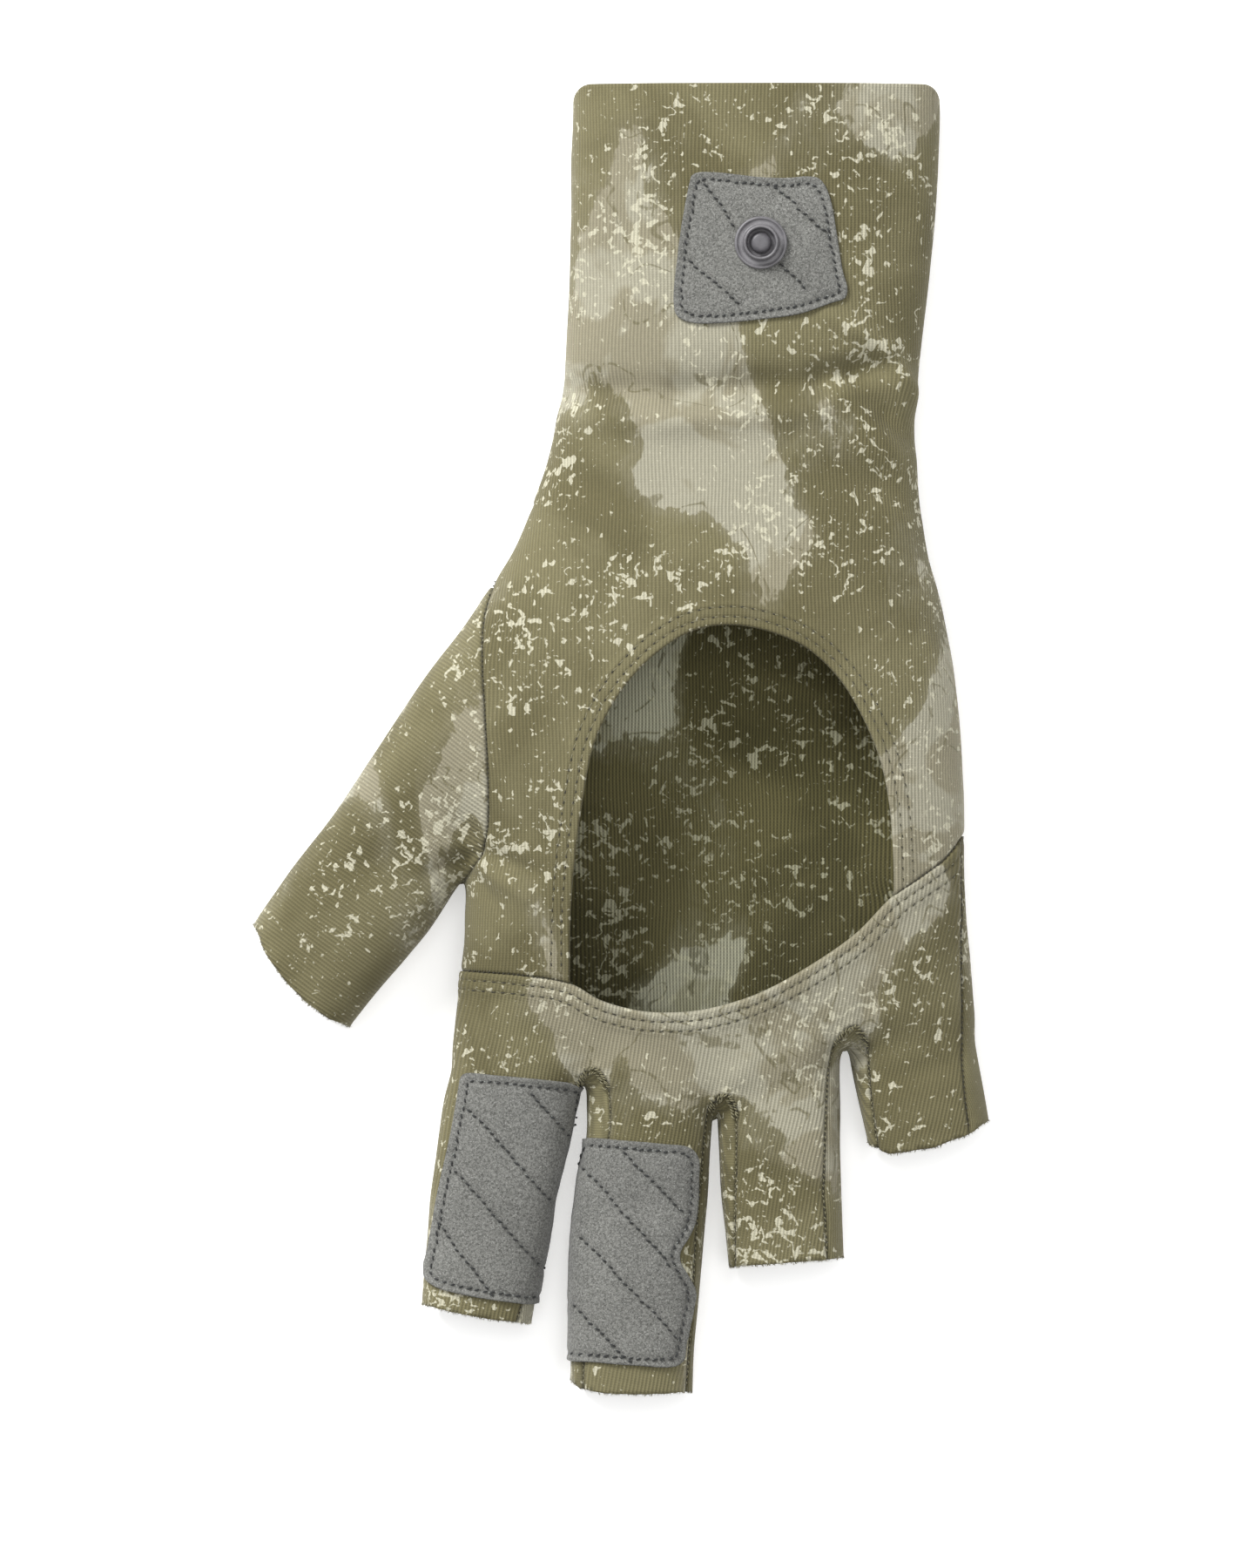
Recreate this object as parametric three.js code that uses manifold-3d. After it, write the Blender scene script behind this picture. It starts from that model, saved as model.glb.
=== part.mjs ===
// Fingerless sun glove for fishing, right hand, lying on its back with the palm up.
// Millimetres. +Z is up (out of the palm), +Y runs from the fingers to the cuff, -X is the thumb side.
// The origin is the middle of the glove's outline, on the surface that it lies on.
//
// The knit shell is one hollow skin of constant thickness. It is lofted through section tables,
// one for the hand and cuff, one for each finger and one for the thumb, and then parted along the
// real seams into the panels that the glove is sewn from. Three suede patches lie on the skin, and
// a press stud with its rivet goes through the cuff patch.
import * as THREE from "three";
import { mergeVertices } from "three/addons/utils/BufferGeometryUtils.js";
import Module from "manifold-3d";

const wasm = await Module();
wasm.setup();

// ---------------------------------------------------------------- driving sizes
const FABRIC = 1.2; // wall of the knit shell
const SEAM = 0.3; // gap left where two panels meet
const HEM = 0.7; // extra height of the folded hem round the palm opening
const HEM_WIDTH = 4.4; // width of that hem
const SUEDE = 0.8; // thickness of the suede patches
const LIFT = 0.3; // gap between the skin and a patch, or a patch and the stud
const SIDE_SEAM_Z = 4.2; // height of the seam between the back panel and the palm side
const WIDEST = 0.46; // where a section is widest, as a share of its height
const TOP_POWER = 2.5; // roundness of the palm side of a section
const BACK_POWER = 3.4; // roundness of the side that lies on the surface
const ROUND_HAND = 24; // points round a section of the hand
const ROUND_FINGER = 14; // points round a section of a finger
const SHIFT = [0.67, -0.15]; // moves the tables' frame so that the outline is centred

const STUD = { x: 26.6, y: 96.6, flange: 5.05, ring: 3.05, bore: 2.0 };

// ---------------------------------------------------------------- section tables
// y: station; left, right: the outline there; top: height of the palm side
const HAND = [
  { y: 128.0, left: -9.4, right: 61.3, top: 19.5 },
  { y: 110.0, left: -10.3, right: 61.1, top: 20.4 },
  { y: 93.0, left: -10.5, right: 59.8, top: 21.0 },
  { y: 84.0, left: -10.9, right: 58.8, top: 21.2 },
  { y: 77.0, left: -11.4, right: 57.9, top: 21.3 },
  { y: 70.5, left: -11.9, right: 57.2, top: 20.1 },
  { y: 65.0, left: -12.6, right: 56.9, top: 21.5 },
  { y: 59.0, left: -13.8, right: 56.9, top: 21.8 },
  { y: 42.5, left: -19.1, right: 58.4, top: 23.4 },
  { y: 34.0, left: -23.5, right: 60.1, top: 24.6 },
  { y: 25.5, left: -28.4, right: 62.2, top: 25.8 },
  { y: 17.0, left: -32.4, right: 63.9, top: 26.6 },
  { y: 6.0, left: -36.2, right: 65.4, top: 27.0 },
  { y: -6.0, left: -37.0, right: 66.1, top: 27.0 },
  { y: -17.0, left: -34.0, right: 66.4, top: 26.4 },
  { y: -34.0, left: -30.9, right: 66.4, top: 24.0 },
  { y: -51.0, left: -32.4, right: 67.6, top: 20.0 },
  { y: -60.0, left: -33.3, right: 68.8, top: 17.4 },
  { y: -74.0, left: -35.6, right: 72.0, top: 15.6 },
];
// The hand ends between the fingers along this line, from the forefinger's side to the little finger's.
const CROTCH_LINE = [
  { x: -60.0, y: -58.0 },
  { x: -26.0, y: -63.0 },
  { x: -8.2, y: -66.2 },
  { x: 18.4, y: -71.4 },
  { x: 43.6, y: -61.0 },
  { x: 56.0, y: -58.0 },
  { x: 90.0, y: -56.0 },
];
// slope: the slant of the open end across the finger
const INDEX = [
  { y: -34.0, left: -28.6, right: -8.0, top: 16.0, slope: 0 },
  { y: -45.0, left: -31.0, right: -8.0, top: 16.4, slope: 0 },
  { y: -56.0, left: -32.8, right: -8.0, top: 16.4, slope: 0 },
  { y: -67.0, left: -34.4, right: -8.5, top: 16.0, slope: 0 },
  { y: -76.5, left: -36.1, right: -9.7, top: 15.8, slope: 0 },
  { y: -93.5, left: -38.4, right: -13.6, top: 15.4, slope: 0 },
  { y: -102.0, left: -39.4, right: -15.2, top: 15.2, slope: -0.1 },
  { y: -111.4, left: -40.2, right: -17.4, top: 15.0, slope: -0.22 },
];
const MIDDLE = [
  { y: -50.0, left: -6.6, right: 18.0, top: 16.4, slope: 0 },
  { y: -72.0, left: -7.4, right: 17.8, top: 16.2, slope: 0 },
  { y: -80.0, left: -8.6, right: 17.2, top: 16.0, slope: 0 },
  { y: -89.0, left: -9.9, right: 16.5, top: 15.8, slope: 0 },
  { y: -110.0, left: -10.9, right: 14.1, top: 15.4, slope: 0 },
  { y: -119.0, left: -10.6, right: 13.5, top: 15.2, slope: 0 },
  { y: -127.0, left: -10.5, right: 13.4, top: 15.0, slope: -0.06 },
];
const RING = [
  { y: -48.0, left: 18.8, right: 42.4, top: 16.0, slope: 0 },
  { y: -70.0, left: 18.5, right: 42.0, top: 15.8, slope: 0 },
  { y: -80.0, left: 18.4, right: 42.4, top: 15.6, slope: 0 },
  { y: -90.0, left: 19.2, right: 42.7, top: 15.4, slope: 0 },
  { y: -102.2, left: 20.7, right: 43.1, top: 15.2, slope: 0.06 },
];
const LITTLE = [
  { y: -34.0, left: 44.2, right: 64.4, top: 15.2, slope: 0 },
  { y: -43.0, left: 44.2, right: 66.4, top: 15.4, slope: 0 },
  { y: -52.0, left: 44.2, right: 67.7, top: 15.3, slope: 0 },
  { y: -60.0, left: 44.4, right: 68.9, top: 15.0, slope: 0.06 },
  { y: -68.0, left: 45.8, right: 70.6, top: 14.8, slope: 0.16 },
  { y: -77.6, left: 48.4, right: 72.0, top: 14.6, slope: 0.3 },
];
// The thumb's axis starts in the palm. s: station along it; out, in: the outline each side of it.
const THUMB_BASE = new THREE.Vector2(-27.3, 3.4);
const THUMB_AXIS = new THREE.Vector2(-0.579, -0.815);
const THUMB = [
  { s: -22.0, out: 14.2, in: 12.0, top: 17.0, slope: 0 },
  { s: -12.0, out: 14.9, in: 12.8, top: 19.5, slope: 0 },
  { s: 0.0, out: 14.7, in: 13.0, top: 21.0, slope: 0 },
  { s: 12.0, out: 14.0, in: 13.0, top: 20.6, slope: 0 },
  { s: 22.0, out: 13.9, in: 13.2, top: 19.8, slope: 0 },
  { s: 32.0, out: 13.8, in: 14.4, top: 18.8, slope: 0 },
  { s: 42.0, out: 13.9, in: 14.4, top: 17.8, slope: 0.05 },
  { s: 52.0, out: 14.0, in: 13.8, top: 17.0, slope: 0.1 },
  { s: 62.6, out: 13.2, in: 13.0, top: 16.4, slope: 0.13 },
];

// ---------------------------------------------------------------- seam and patch outlines, seen from above
// Seam that joins the thumb to the hand.
const THUMB_SEAM = [
  { x: -23.5, y: 41.0 },
  { x: -26.6, y: 29.0 },
  { x: -27.7, y: 15.0 },
  { x: -27.8, y: 2.0 },
  { x: -28.2, y: -12.0 },
  { x: -29.6, y: -22.0 },
  { x: -33.0, y: -32.0 },
];
// Upper edge of the finger panel. It closes the palm opening from below.
const FINGER_HEM = [
  { x: -36.0, y: -45.4 },
  { x: -24.0, y: -46.0 },
  { x: -11.0, y: -47.6 },
  { x: -1.0, y: -52.0 },
  { x: 10.0, y: -53.4 },
  { x: 22.0, y: -51.8 },
  { x: 36.0, y: -45.4 },
  { x: 47.0, y: -37.0 },
  { x: 53.2, y: -31.0 },
  { x: 60.0, y: -26.0 },
  { x: 70.0, y: -19.0 },
];
// The arch of the palm opening, from its thumb-side foot over the top to its outer foot.
const ARCH = [
  { x: -10.6, y: -47.7 },
  { x: -10.2, y: -32.0 },
  { x: -8.6, y: -8.0 },
  { x: -4.4, y: 6.0 },
  { x: 3.6, y: 17.0 },
  { x: 12.0, y: 22.4 },
  { x: 20.0, y: 23.6 },
  { x: 30.0, y: 20.4 },
  { x: 40.0, y: 11.0 },
  { x: 47.6, y: -3.0 },
  { x: 51.6, y: -18.0 },
  { x: 52.8, y: -31.4 },
];
// Where the gussets between the fingers are sewn to the finger panel.
const GUSSETS = [
  {
    name: "fourchette_index_middle",
    seam: [
      { x: -22.5, y: -124.0 },
      { x: -20.4, y: -114.0 },
      { x: -17.8, y: -102.0 },
      { x: -14.4, y: -86.0 },
      { x: -12.0, y: -74.0 },
      { x: -11.2, y: -66.5 },
      { x: -8.0, y: -62.6 },
      { x: -4.8, y: -66.5 },
      { x: -4.6, y: -74.0 },
      { x: -6.8, y: -88.0 },
      { x: -7.8, y: -104.0 },
      { x: -7.7, y: -120.0 },
      { x: -7.6, y: -132.0 },
    ],
  },
  {
    name: "fourchette_middle_ring",
    seam: [
      { x: 10.4, y: -132.0 },
      { x: 10.8, y: -120.0 },
      { x: 12.4, y: -104.0 },
      { x: 14.1, y: -88.0 },
      { x: 14.9, y: -76.0 },
      { x: 15.2, y: -71.5 },
      { x: 18.4, y: -67.8 },
      { x: 21.6, y: -71.5 },
      { x: 21.6, y: -80.0 },
      { x: 22.2, y: -90.0 },
      { x: 23.6, y: -102.0 },
      { x: 24.4, y: -109.0 },
    ],
  },
  {
    name: "fourchette_ring_little",
    seam: [
      { x: 40.4, y: -109.0 },
      { x: 40.1, y: -100.0 },
      { x: 39.6, y: -88.0 },
      { x: 39.2, y: -76.0 },
      { x: 39.4, y: -64.0 },
      { x: 43.4, y: -57.4 },
      { x: 47.6, y: -62.0 },
      { x: 49.0, y: -69.0 },
      { x: 51.2, y: -78.0 },
      { x: 53.2, y: -86.0 },
    ],
  },
];
// Outer seam of the little finger, where the back panel wraps round to the palm side.
const OUTER_SEAM = [
  { x: 63.2, y: -23.8 },
  { x: 63.4, y: -33.0 },
  { x: 64.0, y: -46.0 },
  { x: 65.6, y: -60.0 },
  { x: 67.0, y: -70.0 },
  { x: 69.4, y: -84.0 },
];
const PATCHES = [
  {
    name: "index_patch",
    skin: "index",
    outline: [
      { x: -30.6, y: -66.6 },
      { x: -20.0, y: -66.2 },
      { x: -11.4, y: -67.2 },
      { x: -12.4, y: -80.0 },
      { x: -15.0, y: -92.0 },
      { x: -17.6, y: -106.0 },
      { x: -22.0, y: -108.8 },
      { x: -30.0, y: -108.2 },
      { x: -37.0, y: -105.6 },
      { x: -36.6, y: -97.0 },
      { x: -33.4, y: -80.0 },
    ],
  },
  {
    name: "middle_patch",
    skin: "middle",
    outline: [
      { x: -6.0, y: -79.2 },
      { x: 4.0, y: -78.6 },
      { x: 12.4, y: -79.8 },
      { x: 13.8, y: -83.0 },
      { x: 13.6, y: -92.0 },
      { x: 11.2, y: -100.0 },
      { x: 12.8, y: -108.0 },
      { x: 11.4, y: -120.0 },
      { x: 7.0, y: -122.0 },
      { x: -6.0, y: -121.4 },
      { x: -8.4, y: -118.0 },
      { x: -8.2, y: -100.0 },
      { x: -7.2, y: -84.0 },
    ],
  },
  {
    name: "cuff_patch",
    skin: "hand",
    outline: [
      { x: 13.8, y: 110.6 },
      { x: 25.0, y: 109.8 },
      { x: 38.6, y: 109.6 },
      { x: 41.2, y: 101.0 },
      { x: 43.4, y: 88.6 },
      { x: 40.6, y: 84.6 },
      { x: 27.0, y: 82.6 },
      { x: 12.4, y: 82.0 },
      { x: 10.0, y: 85.4 },
      { x: 11.8, y: 96.0 },
    ],
  },
];

// ---------------------------------------------------------------- materials
const knit = (colour) =>
  new THREE.MeshStandardMaterial({ color: colour, roughness: 0.88, metalness: 0 });
const KNIT_PALM = knit(0x8a8462);
const KNIT_BACK = knit(0x827c5a);
const KNIT_SIDE = knit(0x77714f);
const SUEDE_GREY = new THREE.MeshStandardMaterial({
  color: 0x7d7d7b,
  roughness: 0.95,
  metalness: 0,
});
const STUD_GREY = new THREE.MeshStandardMaterial({
  color: 0x6d6b6d,
  roughness: 0.38,
  metalness: 0,
});

// ---------------------------------------------------------------- helpers
// Six times the signed volume of an indexed mesh.
function signedVolume(position, index) {
  let v = 0;
  const p = (i) => new THREE.Vector3(position[i * 3], position[i * 3 + 1], position[i * 3 + 2]);
  for (let i = 0; i < index.length; i += 3)
    v += p(index[i]).dot(p(index[i + 1]).cross(p(index[i + 2])));
  return v;
}
// A closed three.js geometry as a solid with its faces pointing out, and back.
function solid(geometry) {
  const g = geometry.index ? geometry.toNonIndexed() : geometry.clone();
  const bare = new THREE.BufferGeometry().setAttribute(
    "position",
    g.getAttribute("position"),
  );
  const merged = mergeVertices(bare, 1e-4);
  const position = merged.attributes.position.array;
  const index = merged.index.array;
  if (signedVolume(position, index) < 0) index.reverse();
  return new wasm.Manifold(
    new wasm.Mesh({
      numProp: 3,
      vertProperties: new Float32Array(position),
      triVerts: new Uint32Array(index),
    }),
  );
}
function geometryOf(made) {
  const m = made.getMesh();
  const g = new THREE.BufferGeometry();
  g.setAttribute("position", new THREE.BufferAttribute(m.vertProperties, 3));
  g.setIndex(new THREE.BufferAttribute(m.triVerts, 1));
  return g;
}
// Of the separate bodies in a geometry, the one whose surface comes nearest to a point.
function bodyNearest(geometry, at) {
  const position = geometry.attributes.position.array;
  const index = geometry.index.array;
  const parent = Array.from({ length: position.length / 3 }, (_, i) => i);
  const root = (i) => {
    while (parent[i] !== i) i = parent[i] = parent[parent[i]];
    return i;
  };
  for (let i = 0; i < index.length; i += 3) {
    parent[root(index[i])] = root(index[i + 1]);
    parent[root(index[i + 1])] = root(index[i + 2]);
  }
  const target = new THREE.Vector3(...at);
  const triangle = new THREE.Triangle();
  const near = new THREE.Vector3();
  let best = { d: Infinity, body: -1 };
  for (let i = 0; i < index.length; i += 3) {
    triangle.setFromAttributeAndIndices(
      geometry.attributes.position,
      index[i],
      index[i + 1],
      index[i + 2],
    );
    const d = triangle.closestPointToPoint(target, near).distanceTo(target);
    if (d < best.d) best = { d, body: root(index[i]) };
  }
  const kept = [];
  for (let i = 0; i < index.length; i += 3)
    if (root(index[i]) === best.body) kept.push(index[i], index[i + 1], index[i + 2]);
  const g = new THREE.BufferGeometry();
  g.setAttribute("position", geometry.attributes.position.clone());
  g.setIndex(kept);
  return solid(g);
}
const vec = (p) => new THREE.Vector2(p.x, p.y);
const smooth = (rows, n) => new THREE.SplineCurve(rows.map(vec)).getPoints(n);

// An upright prism over an outline, from z = low to z = high.
function prism(points, low, high) {
  const g = new THREE.ExtrudeGeometry(new THREE.Shape(points), {
    depth: high - low,
    bevelEnabled: false,
  });
  return solid(g.translate(0, 0, low));
}
// An upright wall of a given thickness along an open line.
function fence(line, thickness, low, high) {
  const left = [];
  const right = [];
  line.forEach((p, i) => {
    const a = line[Math.max(i - 1, 0)];
    const b = line[Math.min(i + 1, line.length - 1)];
    const n = new THREE.Vector2(a.y - b.y, b.x - a.x).setLength(thickness / 2);
    left.push(new THREE.Vector2(p.x + n.x, p.y + n.y));
    right.push(new THREE.Vector2(p.x - n.x, p.y - n.y));
  });
  return prism([...right, ...left.reverse()], low, high);
}

// Sections of one tube of the skin, grown outwards by `grow` (negative for the inside).
// ends: how far the first and the last section are pushed out along the tube, so that the inside is open.
function loft(sections, round, grow, ends) {
  const rings = sections.map((q, k) => {
    const wide = q.wide + grow;
    const high = q.top + grow;
    const low = -grow;
    const mid = low + (high - low) * WIDEST;
    const push = k === 0 ? -ends[0] : k === sections.length - 1 ? ends[1] : 0;
    const ring = [];
    for (let i = 0; i < round; i++) {
      const a = ((i + 0.5) / round) * Math.PI * 2;
      const c = Math.cos(a);
      const s = Math.sin(a);
      const power = s >= 0 ? TOP_POWER : BACK_POWER;
      const u = Math.sign(c) * Math.pow(Math.abs(c), 2 / power) * wide;
      const v = Math.pow(Math.abs(s), 2 / power);
      const z =
        s >= 0
          ? mid + (high - mid) * v
          : Math.max(low, mid - (mid - low) * 1.1 * v);
      const along = push + q.slope * u;
      ring.push(
        new THREE.Vector3(
          q.x + q.across.x * u + q.axis.x * along,
          q.y + q.across.y * u + q.axis.y * along,
          z,
        ),
      );
    }
    return ring;
  });
  const position = [];
  const index = [];
  rings.forEach((ring) => ring.forEach((p) => position.push(p.x, p.y, p.z)));
  for (let k = 0; k + 1 < rings.length; k++)
    for (let i = 0; i < round; i++) {
      const a = k * round + i;
      const b = k * round + ((i + 1) % round);
      index.push(a, b, b + round, a, b + round, a + round);
    }
  const cap = (start, flip) => {
    for (let i = 1; i + 1 < round; i++)
      flip
        ? index.push(start, start + i, start + i + 1)
        : index.push(start, start + i + 1, start + i);
  };
  cap(0, false);
  cap((rings.length - 1) * round, true);
  const g = new THREE.BufferGeometry();
  g.setAttribute("position", new THREE.Float32BufferAttribute(position, 3));
  g.setIndex(index);
  return solid(g);
}
// Rows of a straight table (stations along -Y) as loft sections.
const down = new THREE.Vector2(0, -1);
const rightwards = new THREE.Vector2(1, 0);
const fromRows = (rows) =>
  rows.map((r) => ({
    x: (r.left + r.right) / 2,
    y: r.y,
    wide: (r.right - r.left) / 2,
    top: r.top,
    slope: -(r.slope || 0),
    across: rightwards,
    axis: down,
  }));
const thumbAcross = new THREE.Vector2(-THUMB_AXIS.y, THUMB_AXIS.x); // towards the fingers
const fromThumb = (rows) =>
  rows.map((r) => {
    const c = THUMB_BASE.clone()
      .addScaledVector(THUMB_AXIS, r.s)
      .addScaledVector(thumbAcross, (r.in - r.out) / 2);
    return {
      x: c.x,
      y: c.y,
      wide: (r.in + r.out) / 2,
      top: r.top,
      slope: r.slope,
      across: thumbAcross,
      axis: THUMB_AXIS,
    };
  });

const TUBES = {
  hand: { sections: fromRows(HAND), round: ROUND_HAND, grip: 0 },
  index: { sections: fromRows(INDEX), round: ROUND_FINGER },
  middle: { sections: fromRows(MIDDLE), round: ROUND_FINGER },
  ring: { sections: fromRows(RING), round: ROUND_FINGER },
  little: { sections: fromRows(LITTLE), round: ROUND_FINGER },
  thumb: { sections: fromThumb(THUMB), round: ROUND_FINGER },
};
// One tube grown by `grow`. The inside is pushed out of the open ends by 4 mm.
function tube(name, grow) {
  const t = TUBES[name];
  const open = grow < 0 ? 4 : 0;
  if (name !== "hand") return loft(t.sections, t.round, grow, [0, open]);
  const whole = loft(t.sections, t.round, grow, [open, 0]);
  const line = CROTCH_LINE.map((p) => new THREE.Vector2(p.x, p.y - Math.min(grow, 0)));
  const keep = prism(
    [...line, new THREE.Vector2(120, 160), new THREE.Vector2(-120, 160)],
    -5,
    60,
  );
  return whole.intersect(keep);
}
const skin = (grow) =>
  Object.keys(TUBES)
    .map((name) => tube(name, grow))
    .reduce((a, b) => a.add(b));

// ---------------------------------------------------------------- the knit shell, parted at its seams
const outside = skin(0);
let shell = outside.subtract(skin(-FABRIC));

const hemLine = smooth(FINGER_HEM, 20);
const archLine = smooth(ARCH, 26);
// The palm opening: the arch, closed below by the finger panel's upper edge.
const inArch = hemLine.filter(
  (p) => p.x > ARCH[0].x + 0.3 && p.x < ARCH[ARCH.length - 1].x - 0.3,
);
const opening = prism([...archLine, ...inArch.slice().reverse()], 13, 60);
shell = shell.subtract(opening);

const HIGH = 60;
const cuts = [];
const thumbLine = smooth(THUMB_SEAM, 10);
cuts.push(fence(thumbLine, SEAM, -5, HIGH));
cuts.push(fence(hemLine, SEAM, SIDE_SEAM_Z, HIGH));
for (const g of GUSSETS)
  cuts.push(fence(smooth(g.seam, 22), SEAM, SIDE_SEAM_Z, HIGH));
const outerLine = smooth(OUTER_SEAM, 8);
cuts.push(fence(outerLine, SEAM, SIDE_SEAM_Z, HIGH));
// The level seam round the side, from the thumb seam to the outer seam.
const level = prism(
  [
    new THREE.Vector2(-80, 160),
    new THREE.Vector2(-60, 42),
    ...thumbLine,
    new THREE.Vector2(-60, -40),
    new THREE.Vector2(-60, -150),
    new THREE.Vector2(outerLine[outerLine.length - 1].x, -150),
    ...outerLine.slice().reverse(),
    new THREE.Vector2(70, -19),
    new THREE.Vector2(100, -19),
    new THREE.Vector2(100, 160),
  ],
  SIDE_SEAM_Z,
  SIDE_SEAM_Z + SEAM,
);
cuts.push(level);
for (const c of cuts) shell = shell.subtract(c);

// The hem round the arch is folded double: a raised band on the palm panel.
const band = (() => {
  const outer = [];
  archLine.forEach((p, i) => {
    const a = archLine[Math.max(i - 1, 0)];
    const b = archLine[Math.min(i + 1, archLine.length - 1)];
    const n = new THREE.Vector2(a.y - b.y, b.x - a.x).setLength(HEM_WIDTH);
    outer.push(new THREE.Vector2(p.x + n.x, p.y + n.y));
  });
  const flat = prism([...archLine, ...outer.reverse()], 13, HIGH);
  return tube("hand", HEM).subtract(tube("hand", -0.2)).intersect(flat);
})();

// at: a point by which the panel is told from the others
const PANELS = [
  { name: "back_panel", at: [20, 0, 0], material: KNIT_BACK },
  { name: "palm_panel", at: [20, 60, 22], material: KNIT_PALM },
  { name: "finger_panel", at: [10, -60, 17], material: KNIT_PALM },
  { name: "thumb_panel", at: [-50, -20, 20], material: KNIT_PALM },
  { name: "fourchette_index_middle", at: [-9, -64, 8], material: KNIT_SIDE },
  { name: "fourchette_middle_ring", at: [18, -70, 8], material: KNIT_SIDE },
  { name: "fourchette_ring_little", at: [43.5, -60, 8], material: KNIT_SIDE },
];

const glove = new THREE.Group();
glove.name = "glove";
function add(name, made, material) {
  const mesh = new THREE.Mesh(geometryOf(made), material);
  mesh.name = name;
  glove.add(mesh);
}

// Hole for the rivet, through the cuff and its patch.
const rivetHole = solid(
  new THREE.CylinderGeometry(1.5, 1.5, HIGH - 12, 16)
    .rotateX(Math.PI / 2)
    .translate(STUD.x, STUD.y, (12 + HIGH) / 2),
);

const parted = geometryOf(shell);
for (const panel of PANELS) {
  let made = bodyNearest(parted, panel.at);
  if (panel.name === "palm_panel") {
    made = made.add(band);
    for (const c of cuts.slice(0, 2)) made = made.subtract(c);
    made = made.subtract(opening).subtract(rivetHole);
    made = bodyNearest(geometryOf(made), panel.at);
  }
  add(panel.name, made, panel.material);
}

// ---------------------------------------------------------------- suede patches
for (const p of PATCHES) {
  const outline = new THREE.SplineCurve([
    ...p.outline.map(vec),
    vec(p.outline[0]),
  ]).getPoints(34);
  outline.pop();
  const cover = prism(outline, 9, HIGH);
  const outer = p.skin === "hand" ? tube("hand", LIFT + SUEDE) : skin(LIFT + SUEDE);
  const inner = p.skin === "hand" ? tube("hand", LIFT) : skin(LIFT);
  let made = outer.subtract(inner).intersect(cover);
  if (p.name === "cuff_patch") made = made.subtract(rivetHole);
  const centre = outline.reduce((a, b) => a.add(b), new THREE.Vector2()).divideScalar(outline.length);
  made = bodyNearest(geometryOf(made), [centre.x, centre.y, 22]);
  add(p.name, made, SUEDE_GREY);
}

// ---------------------------------------------------------------- press stud and its rivet
const cuffTop = 20.95; // height of the palm side of the cuff at the stud
const seat = cuffTop + LIFT + SUEDE + LIFT;
// A turned piece from its closed profile, standing on the cuff at the stud.
const turned = (rows) =>
  solid(
    new THREE.LatheGeometry(
      rows.map((r) => new THREE.Vector2(r.r, r.z)),
      24,
    )
      .rotateX(Math.PI / 2)
      .translate(STUD.x, STUD.y, seat),
  );
const studProfile = [
  { r: 1.6, z: 0 },
  { r: STUD.flange, z: 0 },
  { r: STUD.flange, z: 0.7 },
  { r: STUD.flange - 0.4, z: 1.0 },
  { r: 3.9, z: 0.75 },
  { r: STUD.ring + 0.1, z: 1.0 },
  { r: STUD.ring, z: 2.3 },
  { r: STUD.ring - 0.15, z: 2.5 },
  { r: STUD.bore + 0.35, z: 2.5 },
  { r: STUD.bore + 0.2, z: 2.3 },
  { r: STUD.bore, z: 0.8 },
  { r: 1.6, z: 0.7 },
  { r: 1.6, z: 0 },
];
const under = -(LIFT + SUEDE + LIFT + FABRIC + LIFT); // down through patch and cuff
const rivetProfile = [
  { r: 0, z: under - 0.8 },
  { r: 4.6, z: under - 0.8 },
  { r: 4.6, z: under },
  { r: 1.2, z: under },
  { r: 1.2, z: 1.1 },
  { r: 1.55, z: 1.15 },
  { r: 1.55, z: 1.45 },
  { r: 0.9, z: 1.75 },
  { r: 0, z: 1.85 },
];
add("snap_stud", turned(studProfile), STUD_GREY);
add("snap_rivet", turned(rivetProfile), STUD_GREY);

glove.position.set(SHIFT[0], SHIFT[1], 0);

export default glove;
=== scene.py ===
"""Looks of a fingerless sun glove of stretch knit, right hand, lying on its back with the palm up.

All shapes are worked out in millimetres in the pattern's own frame and moved into the row frame at the end.
The glove's outside is one smooth implicit surface (hand, four fingers and thumb blended together). It is meshed,
parted along the real seams, and each panel gets a thickness, rolled seams, folded hems and rows of stitches.
"""

import math

import bpy
import numpy as np
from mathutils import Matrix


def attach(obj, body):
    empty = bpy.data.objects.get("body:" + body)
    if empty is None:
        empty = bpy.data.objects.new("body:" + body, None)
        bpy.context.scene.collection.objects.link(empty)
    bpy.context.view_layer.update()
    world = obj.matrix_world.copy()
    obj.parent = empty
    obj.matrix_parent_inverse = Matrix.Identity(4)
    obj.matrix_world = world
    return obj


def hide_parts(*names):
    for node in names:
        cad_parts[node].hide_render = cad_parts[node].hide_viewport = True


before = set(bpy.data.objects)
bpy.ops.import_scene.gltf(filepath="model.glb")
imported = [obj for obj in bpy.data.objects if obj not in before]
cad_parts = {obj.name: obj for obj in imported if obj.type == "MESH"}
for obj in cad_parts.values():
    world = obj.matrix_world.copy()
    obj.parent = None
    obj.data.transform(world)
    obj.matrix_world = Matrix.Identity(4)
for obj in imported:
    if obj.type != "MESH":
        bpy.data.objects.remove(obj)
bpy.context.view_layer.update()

# ------------------------------------------------------------------ sizes, in millimetres
SHIFT = np.array([0.67, -0.15, 0.0])  # pattern frame to row frame
CELL = 1.0  # mesh size of the base surface
FABRIC = 1.0  # thickness of the knit
SUEDE = 0.65  # thickness of the suede
LIFT = 0.12  # gap between the knit and a patch
PATCH_SIDE_Z = 5.6  # how far down a patch wraps over the side of a finger
SIDE_SEAM_Z = 4.35
WIDEST = 0.46
TOP_POWER = 2.6
BACK_POWER = 3.2
FAR = 30.0
REACH = 7.0
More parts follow.
